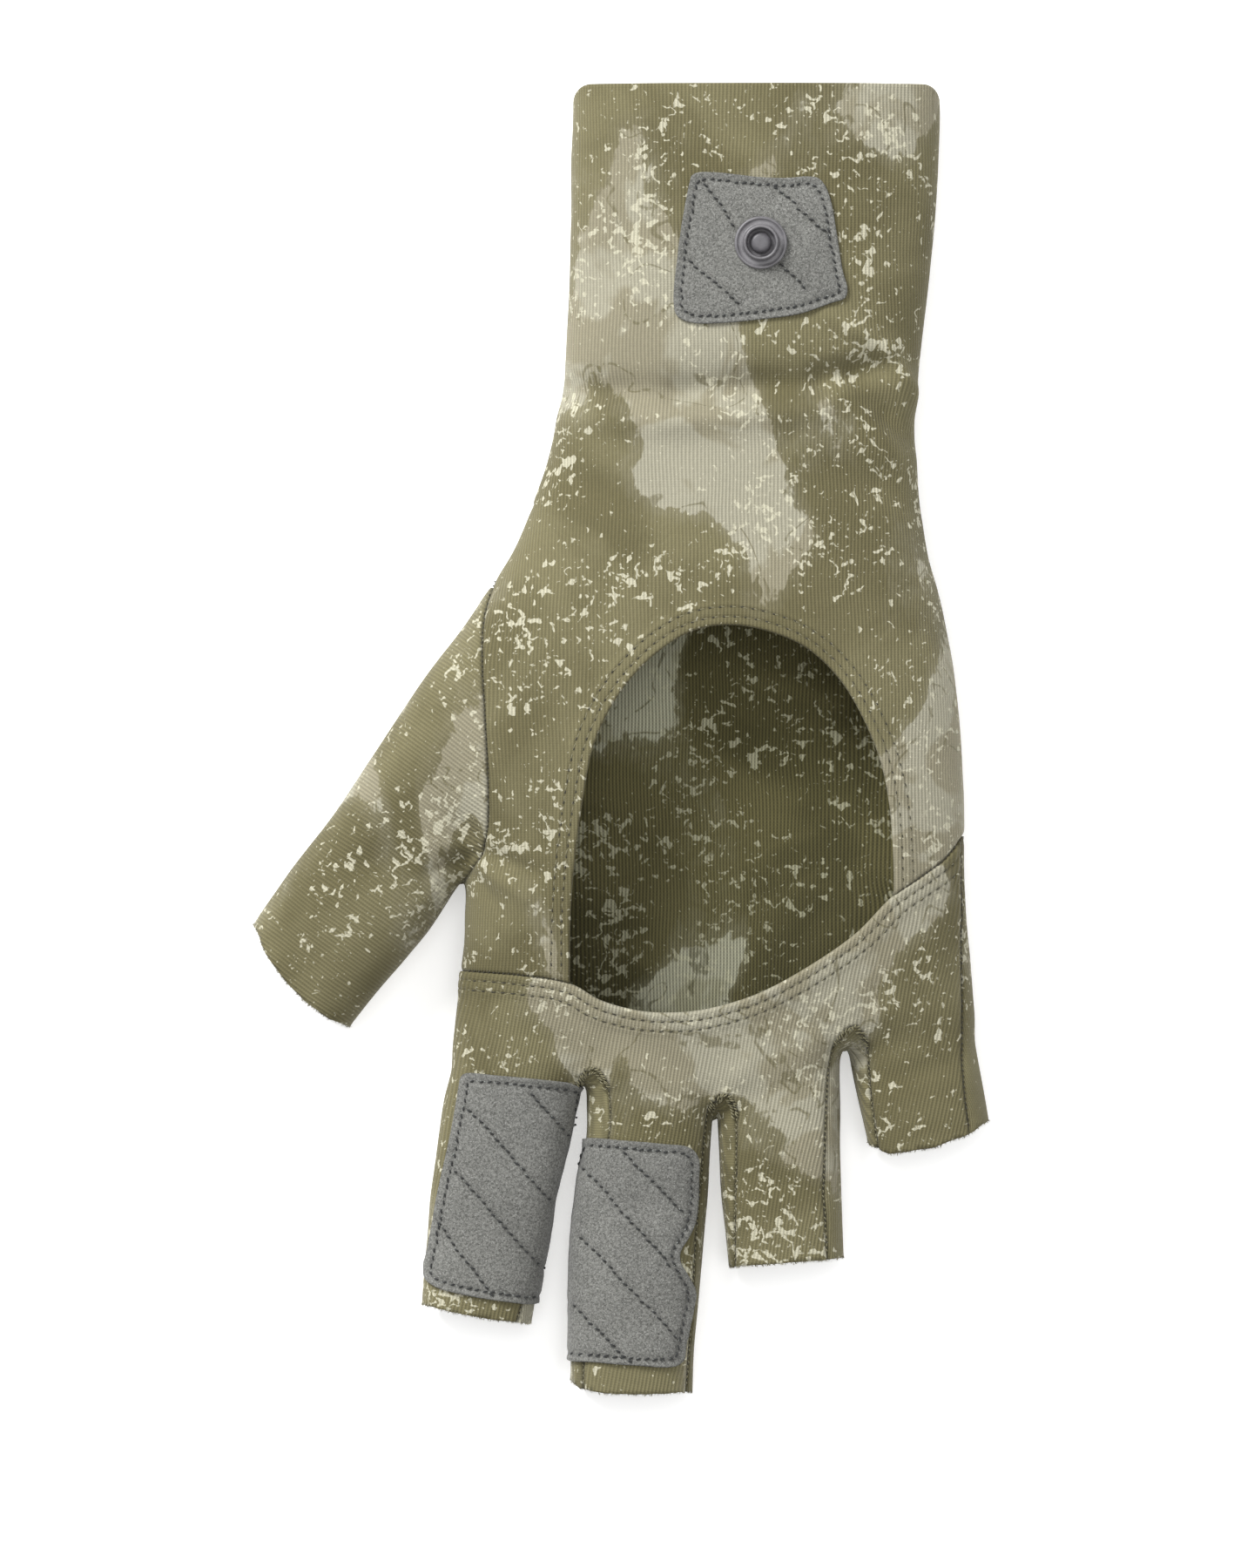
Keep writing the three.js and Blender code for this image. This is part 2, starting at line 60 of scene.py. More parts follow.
RNG = np.random.default_rng(20)

# ------------------------------------------------------------------ section tables
# columns: y, left, right, top
HAND = np.array([
    (134.0, -9.6, 61.6, 18.6),
    (128.0, -9.7, 61.6, 19.2),
    (122.0, -9.9, 61.6, 19.8),
    (113.0, -10.2, 61.3, 20.2),
    (104.5, -10.3, 60.9, 20.6),
    (96.0, -10.4, 60.2, 20.9),
    (87.5, -10.7, 59.2, 21.1),
    (79.0, -11.1, 58.2, 21.0),
    (72.0, -11.7, 57.4, 20.8),
    (64.0, -12.8, 56.8, 21.4),
    (57.0, -14.3, 57.0, 22.0),
    (50.0, -16.4, 57.5, 22.7),
    (42.5, -19.2, 58.4, 23.6),
    (36.0, -22.2, 59.5, 24.5),
    (29.8, -25.9, 61.3, 25.4),
    (21.0, -30.0, 63.2, 26.3),
    (12.0, -33.0, 64.6, 26.8),
    (0.0, -35.0, 65.8, 27.0),
    (-10.0, -34.0, 66.3, 26.8),
    (-19.0, -31.6, 66.4, 26.2),
    (-26.0, -30.7, 66.4, 25.4),
    (-34.0, -31.1, 66.7, 24.0),
    (-42.5, -31.2, 67.1, 22.2),
    (-51.0, -31.5, 67.6, 20.0),
    (-60.0, -32.6, 68.8, 17.6),
    (-72.0, -35.0, 71.0, 15.8),
])
# columns: y, left, right, top
INDEX = np.array([
    (-32.0, -27.0, -9.0, 15.0),
    (-45.0, -31.0, -8.0, 16.4),
    (-56.0, -32.1, -7.8, 16.6),
    (-64.0, -33.4, -8.2, 16.4),
    (-70.0, -35.0, -9.3, 16.2),
    (-76.0, -36.0, -10.4, 16.1),
    (-82.0, -36.9, -11.9, 16.0),
    (-89.0, -37.9, -13.6, 15.8),
    (-98.0, -38.7, -15.2, 15.5),
    (-106.0, -39.3, -16.6, 15.2),
    (-118.0, -40.5, -18.6, 14.8),
])
MIDDLE = np.array([
    (-48.0, -6.2, 18.0, 15.6),
    (-60.0, -7.0, 18.0, 16.6),
    (-70.0, -7.3, 17.7, 16.5),
    (-77.0, -7.3, 17.2, 16.3),
    (-85.0, -8.6, 16.7, 16.1),
    (-94.0, -9.5, 16.1, 15.9),
    (-106.0, -10.1, 14.9, 15.6),
    (-117.0, -10.3, 13.8, 15.4),
    (-132.0, -10.5, 13.1, 15.0),
])
RING = np.array([
    (-46.0, 18.8, 42.4, 15.4),
    (-58.0, 18.6, 42.2, 16.2),
    (-70.0, 18.1, 42.1, 16.1),
    (-80.0, 18.4, 42.3, 15.9),
    (-90.0, 19.0, 42.6, 15.6),
    (-98.0, 19.9, 42.9, 15.3),
    (-108.0, 21.0, 43.2, 15.0),
])
LITTLE = np.array([
    (-30.0, 44.0, 63.4, 14.6),
    (-43.0, 44.2, 66.6, 15.6),
    (-52.0, 43.9, 67.8, 15.6),
    (-60.0, 44.0, 68.9, 15.4),
    (-68.0, 45.4, 70.3, 15.2),
    (-76.0, 47.2, 71.6, 15.0),
    (-86.0, 49.6, 73.4, 14.6),
])
# columns: station along the axis, outer half, inner half, top
THUMB = np.array([
    (-26.0, 12.6, 11.0, 15.0),
    (-14.0, 14.0, 12.4, 19.2),
    (-2.0, 14.6, 13.0, 21.2),
    (10.0, 14.3, 13.0, 20.8),
    (20.0, 14.0, 13.1, 20.0),
    (30.0, 13.8, 14.2, 19.0),
    (38.0, 13.9, 14.7, 18.2),
    (46.0, 14.1, 14.1, 17.6),
    (54.0, 14.1, 13.3, 17.0),
    (68.0, 13.8, 12.4, 16.2),
])
THUMB_BASE = np.array([-27.3, 3.4])
THUMB_AXIS = np.array([-0.579, -0.8153])
THUMB_ACROSS = np.array([0.8153, -0.579])
# The hand's end between the fingers. columns: x, y
CROTCH = np.array([
    (-60.0, -60.0),
    (-26.0, -64.0),
    (-7.6, -66.4),
    (5.0, -68.5),
    (18.2, -71.6),
    (32.0, -66.0),
    (43.3, -59.4),
    (56.0, -58.0),
    (90.0, -56.0),
])

# ------------------------------------------------------------------ seams and outlines, seen from above: x, y
THUMB_SEAM = [(-18.0, 46.0), (-22.4, 39.0), (-25.6, 30.6), (-27.5, 23.6), (-27.7, 16.0), (-27.3, 8.0), (-26.8, -0.7), (-26.5, -9.9), (-26.9, -17.7), (-28.4, -22.8), (-30.8, -26.6), (-32.6, -30.4)]
FINGER_HEM = [(-37.0, -44.6), (-31.4, -45.0), (-20.0, -45.9), (-10.6, -47.4), (-4.5, -50.7), (2.8, -52.7), (8.4, -53.1), (15.2, -52.6), (25.4, -49.7), (35.3, -44.5), (45.0, -37.8), (52.4, -30.4), (58.0, -26.6), (62.4, -23.4), (65.8, -19.6), (70.0, -15.0)]
ARCH = [(-10.6, -56.0), (-10.6, -47.8), (-10.4, -32.8), (-9.6, -23.0), (-8.1, -11.9), (-5.7, -0.4), (-0.8, 9.2), (5.9, 16.6), (13.2, 21.2), (19.6, 22.4), (26.4, 21.6), (35.0, 18.2), (41.7, 12.1), (46.8, 3.7), (50.1, -4.6), (51.8, -13.3), (52.5, -23.6), (52.6, -31.0), (52.4, -40.0)]
OUTER_SEAM = [(65.5, -12.0), (65.8, -21.3), (66.0, -30.1), (66.0, -40.0), (66.1, -49.6), (66.2, -60.0), (66.5, -68.0), (67.5, -76.0), (69.0, -86.0)]
GUSSET_INDEX_MIDDLE = [(-24.0, -124.0), (-19.6, -110.0), (-17.0, -100.0), (-14.6, -90.0), (-12.2, -80.0), (-10.4, -72.0), (-9.0, -67.0), (-7.6, -64.5), (-6.0, -63.8), (-4.3, -64.8), (-3.2, -68.0), (-2.8, -74.0), (-3.9, -82.0), (-6.2, -92.0), (-7.6, -104.0), (-8.0, -118.0), (-8.2, -136.0)]
GUSSET_MIDDLE_RING = [(11.4, -136.0), (12.2, -126.8), (13.3, -112.0), (14.5, -96.0), (15.7, -82.0), (16.5, -74.0), (17.2, -71.0), (18.8, -69.2), (20.4, -69.2), (21.4, -71.2), (21.7, -76.0), (21.3, -88.0), (21.3, -100.0), (22.0, -114.0)]
GUSSET_RING_LITTLE = [(40.6, -114.0), (39.8, -101.0), (39.2, -86.0), (39.5, -74.0), (40.2, -64.0), (41.4, -59.0), (43.2, -56.4), (45.4, -55.9), (46.9, -58.0), (47.4, -62.0), (47.9, -69.0), (49.0, -77.5), (51.0, -90.0)]
# Open ends of the fingers: everything past them is cut away.
ENDS = {
    "index": [(-46.0, -108.2), (-39.9, -109.9), (-33.0, -111.5), (-26.0, -112.8), (-17.6, -113.8), (-12.0, -114.0), (-12.0, -140.0), (-46.0, -140.0)],
    "middle": [(-16.0, -123.0), (-11.3, -124.2), (-8.8, -126.3), (-4.0, -127.2), (2.0, -127.4), (8.0, -127.2), (13.3, -127.0), (17.0, -126.6), (17.0, -145.0), (-16.0, -145.0)],
    "ring": [(17.6, -102.9), (21.0, -102.6), (30.0, -101.9), (39.9, -101.2), (43.1, -100.7), (47.0, -99.8), (47.0, -125.0), (17.6, -125.0)],
    "little": [(45.4, -76.4), (48.5, -79.2), (51.6, -80.7), (60.3, -79.3), (67.6, -76.6), (71.5, -73.9), (77.0, -69.8), (82.0, -100.0), (45.4, -100.0)],
    "thumb": [(-76.0, -29.6), (-71.8, -36.6), (-69.8, -41.5), (-66.0, -46.9), (-61.8, -51.0), (-57.5, -54.2), (-53.3, -55.8), (-46.0, -57.4), (-52.0, -80.0), (-95.0, -70.0), (-95.0, -35.0)],
}
CUFF_END = 127.9
CUFF_CORNER = 3.0

INDEX_PATCH = [(-30.2, -64.9), (-25.0, -65.2), (-16.0, -66.0), (-10.0, -66.8), (-8.2, -67.6), (-8.3, -70.0), (-8.9, -76.0), (-9.9, -81.0), (-11.6, -88.0), (-12.9, -96.0), (-13.7, -103.0), (-14.2, -107.6), (-15.2, -109.4), (-17.6, -109.9), (-24.0, -109.2), (-31.0, -108.0), (-36.6, -106.4), (-38.6, -104.6), (-37.8, -98.0), (-36.0, -88.0), (-33.8, -78.0), (-31.8, -68.0), (-31.2, -65.6)]
MIDDLE_PATCH = [(-7.0, -77.7), (0.0, -77.9), (8.0, -78.6), (12.4, -79.2), (14.2, -81.0), (14.4, -86.0), (13.8, -93.8), (12.4, -97.0), (10.9, -99.6), (10.9, -101.6), (12.4, -104.4), (13.6, -107.4), (12.9, -112.0), (11.8, -117.4), (11.3, -120.8), (9.8, -121.9), (2.0, -121.7), (-6.0, -121.1), (-10.6, -120.9), (-12.6, -119.6), (-13.2, -114.0), (-13.0, -104.0), (-12.2, -96.0), (-10.9, -88.0), (-9.5, -82.0), (-8.7, -79.0)]
CUFF_PATCH = [(12.8, 108.4), (13.2, 109.7), (14.6, 110.3), (17.8, 110.3), (21.6, 109.9), (26.0, 109.4), (31.6, 109.2), (35.2, 109.5), (37.7, 109.2), (39.0, 107.8), (40.2, 104.6), (41.4, 98.0), (42.5, 91.0), (43.4, 87.6), (42.9, 85.9), (40.4, 85.0), (34.0, 82.8), (26.0, 81.7), (18.0, 81.0), (13.2, 81.1), (10.4, 82.4), (9.7, 85.0), (10.2, 92.0), (11.4, 101.0)]
# Quilting lines. columns: x0, y0, x1, y1
INDEX_QUILT = [(-18.3, -68.2, -10.9, -77.4), (-30.3, -71.4, -14.4, -90.0), (-33.0, -83.6, -15.6, -103.8), (-36.4, -93.6, -25.5, -108.4)]
MIDDLE_QUILT = [(-0.4, -79.9, 11.4, -92.0), (-7.9, -83.0, 9.2, -102.6), (-8.6, -96.4, 10.4, -116.5), (-9.8, -109.8, 1.6, -121.4)]
CUFF_QUILT = [(15.4, 108.4, 21.8, 99.2), (30.0, 92.6, 35.6, 87.2), (28.8, 107.8, 39.7, 98.4), (12.6, 93.4, 22.8, 84.2)]
STUD = (26.6, 96.6)

# Soft folds. columns: x0, y0, x1, y1, half width, height (below 0 is a dent)
FOLDS = [
    (10.0, 67.8, 38.0, 69.6, 2.9, -2.7),
    (-14.0, 68.4, 12.0, 67.6, 3.1, -2.1),
    (38.0, 70.6, 50.5, 72.6, 2.5, -3.4),
    (8.0, 62.0, 38.0, 64.0, 3.0, 1.3),
    (-12.0, 62.6, 12.0, 61.6, 3.0, 1.1),
    (8.0, 76.0, 38.0, 77.2, 4.2, 0.6),
    (39.5, 82.8, 51.0, 76.2, 1.9, 1.7),
    (51.5, 75.5, 57.5, 65.0, 1.9, 1.8),
    (46.5, 68.5, 56.5, 58.0, 2.4, -1.9),
    (36.0, 88.0, 44.0, 79.0, 2.4, -0.4),
    (30.0, 58.0, 46.0, 63.0, 3.2, -0.35),
    (41.0, 54.0, 58.0, 46.0, 4.6, -1.6),
    (36.0, 60.0, 50.0, 55.0, 4.0, 0.35),
    (-14.0, 52.0, 6.0, 46.0, 4.6, -1.0),
    (-6.0, 44.0, 10.0, 36.0, 4.0, 0.3),
    (10.0, 42.0, 30.0, 36.0, 4.4, -0.3),
    (48.0, 32.0, 62.0, 20.0, 4.0, -0.7),
    (54.0, 2.0, 66.0, -6.0, 3.6, -0.4),
    (-26.0, 30.0, -14.0, 6.0, 4.5, 0.35),
    (-20.0, 22.0, -13.0, -8.0, 3.0, -0.3),
    (-24.0, -14.0, -14.0, -20.0, 3.0, -0.4),
    (-28.0, -21.6, -17.0, -26.0, 1.6, -1.0),
    (-28.4, -24.4, -19.0, -31.0, 1.5, 0.8),
    (-29.0, -26.4, -23.0, -35.0, 1.3, -0.55),
    (-29.6, -22.6, -38.0, -26.0, 1.3, -0.8),
    (-29.6, -21.0, -38.0, -20.4, 1.4, 0.5),
    (-29.0, -18.8, -36.0, -13.6, 1.5, -0.5),
    (-32.0, -27.4, -41.0, -32.6, 1.6, 0.4),
    (-34.0, -31.0, -41.0, -38.0, 1.5, -0.4),
    (-44.0, -22.0, -56.0, -26.0, 3.4, -0.8),
    (-52.0, -8.0, -62.0, -32.0, 3.6, -0.6),
    (-40.0, 4.0, -34.0, -10.0, 3.0, 0.3),
    (-18.0, -56.0, -10.0, -62.0, 2.6, -0.5),
    (4.0, -60.0, 16.0, -68.0, 2.6, -0.45),
    (26.0, -60.0, 20.0, -69.0, 2.2, 0.35),
    (50.0, -48.0, 45.0, -57.0, 2.2, -0.45),
    (30.0, -52.0, 40.0, -58.0, 2.6, -0.4),
    (-34.0, -50.0, -28.0, -60.0, 2.4, 0.35),
    (22.0, -84.0, 40.0, -88.0, 3.0, -0.6),
    (52.0, -66.0, 66.0, -62.0, 2.6, -0.65),
    (58.0, -36.0, 64.0, -52.0, 2.4, 0.3),
    (0.0, 100.0, -6.0, 84.0, 5.0, -0.6),
    (50.0, 112.0, 56.0, 94.0, 4.4, -0.6),
    (6.0, 120.0, 30.0, 118.0, 3.6, -0.3),
    # the overlocked seams stand up a little round the ends of the gaps
    (-10.6, -69.0, -8.4, -64.8, 0.8, 0.6),
    (-8.4, -64.8, -5.0, -63.4, 0.8, 0.7),
    (-5.0, -63.4, -2.0, -67.0, 0.8, 0.6),
    (16.4, -71.0, 19.6, -68.4, 0.8, 0.6),
    (19.6, -68.4, 22.6, -71.0, 0.8, 0.6),
    (41.0, -58.6, 44.3, -55.2, 0.8, 0.6),
    (44.3, -55.2, 47.6, -58.6, 0.8, 0.6),
]


# ------------------------------------------------------------------ curves
def curve(rows, step=0.8):
    """A smooth line through the rows, sampled about every step."""
    p = np.array(rows, float)
    p = np.vstack([2 * p[0] - p[1], p, 2 * p[-1] - p[-2]])
    out = []
    for i in range(1, len(p) - 2):
        p0, p1, p2, p3 = p[i - 1], p[i], p[i + 1], p[i + 2]
        t0, t1 = 0.0, np.linalg.norm(p1 - p0) ** 0.5
        t2 = t1 + np.linalg.norm(p2 - p1) ** 0.5
        t3 = t2 + np.linalg.norm(p3 - p2) ** 0.5
        n = max(2, int(np.linalg.norm(p2 - p1) / step) + 1)
        t = np.linspace(t1, t2, n, endpoint=False)[:, None]
        a1 = (t1 - t) / (t1 - t0) * p0 + (t - t0) / (t1 - t0) * p1
        a2 = (t2 - t) / (t2 - t1) * p1 + (t - t1) / (t2 - t1) * p2
        a3 = (t3 - t) / (t3 - t2) * p2 + (t - t2) / (t3 - t2) * p3
        b1 = (t2 - t) / (t2 - t0) * a1 + (t - t0) / (t2 - t0) * a2
        b2 = (t3 - t) / (t3 - t1) * a2 + (t - t1) / (t3 - t1) * a3
        out.append((t2 - t) / (t2 - t1) * b1 + (t - t1) / (t2 - t1) * b2)
    out.append(p[-2][None])
    return np.vstack(out)


def loop(rows, step=0.8):
    """A smooth closed outline."""
    p = np.array(rows, float)
    n = len(p)
    wide = np.vstack([p[-3:], p, p[:4]])
    c = curve(wide, step)
    # keep one turn: from the first row round to it again
    d0 = np.linalg.norm(c - p[0], axis=1)
    near = np.where(d0 < 1e-6)[0]
    return c[near[0] : near[-1]]


def resample(line, step, start=0.0, stop=None):
    seg = np.linalg.norm(np.diff(line, axis=0), axis=1)
    s = np.concatenate([[0], np.cumsum(seg)])
    stop = s[-1] if stop is None else stop
    n = max(2, int(round((stop - start) / step)) + 1)
    t = np.linspace(start, stop, n)
    return np.stack([np.interp(t, s, line[:, k]) for k in range(line.shape[1])], 1)


def segments_distance(q, a, b):
    """Distance of 2-D points q to segments a-b, and the nearest segment and place on it."""
    best = np.full(len(q), 1e9)
    where = np.zeros(len(q), int)
    part = np.zeros(len(q))
    ab = b - a
    ll = np.maximum((ab**2).sum(1), 1e-12)
    for lo in range(0, len(q), 20000):
        qq = q[lo : lo + 20000]
        d = qq[:, None, :] - a[None]
        t = np.clip((d * ab[None]).sum(2) / ll[None], 0, 1)
        r = d - t[..., None] * ab[None]
        dd = (r**2).sum(2)
        k = dd.argmin(1)
        i = np.arange(len(qq))
        best[lo : lo + 20000] = np.sqrt(dd[i, k])
        where[lo : lo + 20000] = k
        part[lo : lo + 20000] = t[i, k]
    return best, where, part


def near_segments(q, a, b, reach):
    """Distance of 2-D points to segments, worked out only within reach of them."""
    out = np.full(len(q), reach)
    box = (q > np.minimum(a.min(0), b.min(0)) - reach).all(1) & (q < np.maximum(a.max(0), b.max(0)) + reach).all(1)
    idx = np.where(box)[0]
    for k in range(0, len(a), 12):
        aa, bb = a[k : k + 12], b[k : k + 12]
        lo = np.minimum(aa.min(0), bb.min(0)) - reach
        hi = np.maximum(aa.max(0), bb.max(0)) + reach
        m = idx[(q[idx] > lo).all(1) & (q[idx] < hi).all(1)]
        if len(m):
            out[m] = np.minimum(out[m], segments_distance(q[m], aa, bb)[0])
    return out


def line_distance(points, line, reach=REACH):
    """Distance of points to an open line, seen from above."""
    return near_segments(points[:, :2], line[:-1], line[1:], reach)


def inside_distance(points, outline, reach=REACH):
    """Distance to a closed outline seen from above, above 0 inside it."""
    q = points[:, :2]
    a = outline
    b = np.roll(outline, -1, 0)
    out = -near_segments(q, a, b, reach)
    box = np.where((q > outline.min(0)).all(1) & (q < outline.max(0)).all(1))[0]
    px, py = q[box, 0], q[box, 1]
    inside = np.zeros(len(box), bool)
    order = np.argsort(py)
    ys = py[order]
    for (x0, y0), (x1, y1) in zip(a, b):
        if y0 == y1:
            continue
        i0, i1 = np.searchsorted(ys, (min(y0, y1), max(y0, y1)))
        m = order[i0:i1]
        inside[m] ^= px[m] < (x1 - x0) * (py[m] - y0) / (y1 - y0) + x0
    out[box[inside]] *= -1
    return out


# ------------------------------------------------------------------ the implicit surface
def eased(table, step=0.5):
    """A table's columns, interpolated smoothly and finely over its first column."""
    t = table[np.argsort(table[:, 0])]
    x = t[:, 0]
    fine = np.arange(x[0], x[-1] + step / 2, step)
    cols = [fine]
    h = np.diff(x)
    for k in range(1, t.shape[1]):
        y = t[:, k]
        m = np.gradient(y, x)
        i = np.clip(np.searchsorted(x, fine) - 1, 0, len(x) - 2)
        s = (fine - x[i]) / h[i]
        cols.append((2 * s**3 - 3 * s**2 + 1) * y[i] + (s**3 - 2 * s**2 + s) * h[i] * m[i] + (-2 * s**3 + 3 * s**2) * y[i + 1] + (s**3 - s**2) * h[i] * m[i + 1])
    return np.stack(cols, 1)


def smooth_max(a, b, k):
    h = np.maximum(k - np.abs(a - b), 0) / k
    return np.maximum(a, b) + h * h * k * 0.25


def smooth_min(a, b, k):
    return -smooth_max(-a, -b, k)


TABLES = {k: eased(v) for k, v in {"hand": HAND, "index": INDEX, "middle": MIDDLE, "ring": RING, "little": LITTLE, "thumb": THUMB}.items()}
BOXES = {  # lowest and highest x, y of each tube
    "hand": (-50.0, -80.0, 80.0, 140.0),
    "index": (-48.0, -124.0, 0.0, -26.0),
    "middle": (-18.0, -137.0, 26.0, -40.0),
    "ring": (10.0, -114.0, 52.0, -38.0),
    "little": (36.0, -92.0, 82.0, -22.0),
    "thumb": (-92.0, -76.0, 14.0, 40.0),
}


def section(u, z, wide, top):
    """Distance to one section of a tube: u across it from its middle, z up."""
    mid = WIDEST * top
    up = z >= mid
    n = np.where(up, TOP_POWER, BACK_POWER)
    h = np.where(up, top - mid, mid * 1.12)
    a = np.abs(u) / wide
    b = np.abs(z - mid) / h
    r = np.maximum((a**n + b**n) ** (1 / n), 0.05)
    g = np.sqrt((a ** (n - 1) / wide) ** 2 + (b ** (n - 1) / h) ** 2) * r ** (1 - n)
    return (r - 1) / np.maximum(g, 1 / 60.0)


def tube(name, p):
    t = TABLES[name]
    if name == "thumb":
        q = p[:, :2] - THUMB_BASE
        s = q @ THUMB_AXIS
        u = q @ THUMB_ACROSS
        outer, inner, top = (np.interp(s, t[:, 0], t[:, k]) for k in (1, 2, 3))
        d = section(u - (inner - outer) / 2, p[:, 2], (inner + outer) / 2, top)
        return smooth_max(d, t[0, 0] - s, 6.0)
    y = p[:, 1]
    left, right, top = (np.interp(y, t[:, 0], t[:, k]) for k in (1, 2, 3))
    d = section(p[:, 0] - (left + right) / 2, p[:, 2], (right - left) / 2, top)
    if name == "hand":
        return smooth_max(d, np.interp(p[:, 0], CROTCH[:, 0], CROTCH[:, 1]) - y, 6.0)
    return smooth_max(d, y - t[-1, 0], 4.0)


BLEND = {"index": 3.0, "middle": 3.0, "ring": 3.0, "little": 3.0, "thumb": 3.4}


def field(p):
    """Below 0 inside the glove, about the distance in mm near its surface. The fingers blend with the hand only."""
    hand = np.full(len(p), FAR)
    x, y = p[:, 0], p[:, 1]
    out = hand
    for name in ("hand", "index", "middle", "ring", "little", "thumb"):
        x0, y0, x1, y1 = BOXES[name]
        m = (x > x0) & (x < x1) & (y > y0) & (y < y1)
        if not m.any():
            continue
        d = np.clip(tube(name, p[m]), -FAR, FAR)
        if name == "hand":
            hand[m] = d
            out = hand.copy()
        else:
            out[m] = np.minimum(out[m], smooth_min(hand[m], d, BLEND[name]))
    return smooth_max(out, -p[:, 2], 1.4)


def gradient(p, e=0.06):
    g = np.empty_like(p)
    for k in range(3):
        d = np.zeros(3)
        d[k] = e
        g[:, k] = (field(p + d) - field(p - d)) / (2 * e)
    return g


def onto_surface(p, rounds=3, cap=0.6):
    for _ in range(rounds):
        f = field(p)
        g = gradient(p)
        step = (f / np.maximum((g**2).sum(1), 0.05))[:, None] * g
        size = np.linalg.norm(step, axis=1, keepdims=True)
        p = p - step * np.minimum(1, cap / np.maximum(size, 1e-9))
    return p


def normals(p):
    g = gradient(p, 0.15)
    return g / np.maximum(np.linalg.norm(g, axis=1, keepdims=True), 1e-9)


def drop(xy):
    """The surface straight below points seen from above."""
    p = np.column_stack([xy, np.full(len(xy), 34.0)])
    for _ in range(60):
        f = field(p)
        if np.abs(f).max() < 0.004:
            break
        p[:, 2] -= np.clip(f, -1.5, 6.0) * 0.8
        p[:, 2] = np.maximum(p[:, 2], SIDE_SEAM_Z * 0.5)
    return p


def base_mesh():
    """Naive surface nets over a grid of cells, then drawn onto the surface."""
    lo = np.array([-78.0, -133.0, -2.5])
    hi = np.array([77.0, 132.0, 30.5])
    n = np.round((hi - lo) / CELL).astype(int) + 1
    axes = [lo[k] + CELL * np.arange(n[k]) for k in range(3)]
    grid = np.stack(np.meshgrid(*axes, indexing="ij"), -1).reshape(-1, 3)
    f = field(grid).reshape(n)
    neg = f < 0
    cells = np.array(f.shape) - 1
    total = np.zeros((*cells, 3))
    count = np.zeros(cells)
    for axis in range(3):
        others = [k for k in range(3) if k != axis]
        for a in (0, 1):
            for b in (0, 1):
                first = [slice(0, -1)] * 3
                second = [slice(0, -1)] * 3
                second[axis] = slice(1, None)
                for k, o in zip(others, (a, b)):
                    first[k] = second[k] = slice(o, cells[k] + o)
                f0, f1 = f[tuple(first)], f[tuple(second)]
                hit = neg[tuple(first)] != neg[tuple(second)]
                t = np.where(hit, f0 / np.where(hit, f0 - f1, 1), 0)
                total[..., axis] += np.where(hit, t, 0)
                for k, o in zip(others, (a, b)):
                    total[..., k] += np.where(hit, o, 0)
                count += hit
    active = count > 0
    ids = np.full(cells, -1)
    ids[active] = np.arange(active.sum())
    where = np.argwhere(active)
    points = lo + CELL * (where + total[active] / count[active][:, None])
    quads = []
    for axis in range(3):
        first = [slice(None)] * 3
        second = [slice(None)] * 3
        first[axis] = slice(0, -1)
        second[axis] = slice(1, None)
        a = neg[tuple(first)]
        b = neg[tuple(second)]
        hit = np.argwhere(a != b)
        k1, k2 = [(1, 2), (2, 0), (0, 1)][axis]
        ok = (hit[:, k1] > 0) & (hit[:, k2] > 0) & (hit[:, k1] < cells[k1]) & (hit[:, k2] < cells[k2])
        hit = hit[ok]
        flip = ~a[tuple(hit.T)]
        corner = []
        for d1, d2 in ((1, 1), (0, 1), (0, 0), (1, 0)):
            c = hit.copy()
            c[:, k1] -= d1
            c[:, k2] -= d2
            corner.append(ids[tuple(c.T)])
        q = np.stack(corner, 1)
        q[flip] = q[flip][:, ::-1]
        quads.append(q)
    quads = np.vstack(quads)
    quads = quads[(quads >= 0).all(1)]
    # even out along the surface
    a = quads.ravel()
    b = np.roll(quads, -1, 1).ravel()
    deg = np.bincount(np.concatenate([a, b]), minlength=len(points)).astype(float)
    for _ in range(3):
        s = np.zeros_like(points)
        for k in range(3):
            s[:, k] = np.bincount(a, points[b, k], len(points)) + np.bincount(b, points[a, k], len(points))
        points = points * 0.4 + 0.6 * s / deg[:, None]
        points = onto_surface(points, 2)
    # split each quad along its shorter diagonal
    d1 = np.linalg.norm(points[quads[:, 0]] - points[quads[:, 2]], axis=1)
    d2 = np.linalg.norm(points[quads[:, 1]] - points[quads[:, 3]], axis=1)
    one = d1 <= d2
    t = np.vstack([quads[one][:, [0, 1, 2]], quads[one][:, [0, 2, 3]], quads[~one][:, [1, 2, 3]], quads[~one][:, [1, 3, 0]]])
    # faces point out
    c = points[t].mean(1)
    n_face = np.cross(points[t[:, 1]] - points[t[:, 0]], points[t[:, 2]] - points[t[:, 0]])
    sample = RNG.choice(len(t), 400, replace=False)
    if (n_face[sample] * gradient(c[sample])).sum() < 0:
        t = t[:, ::-1]
    return points, t


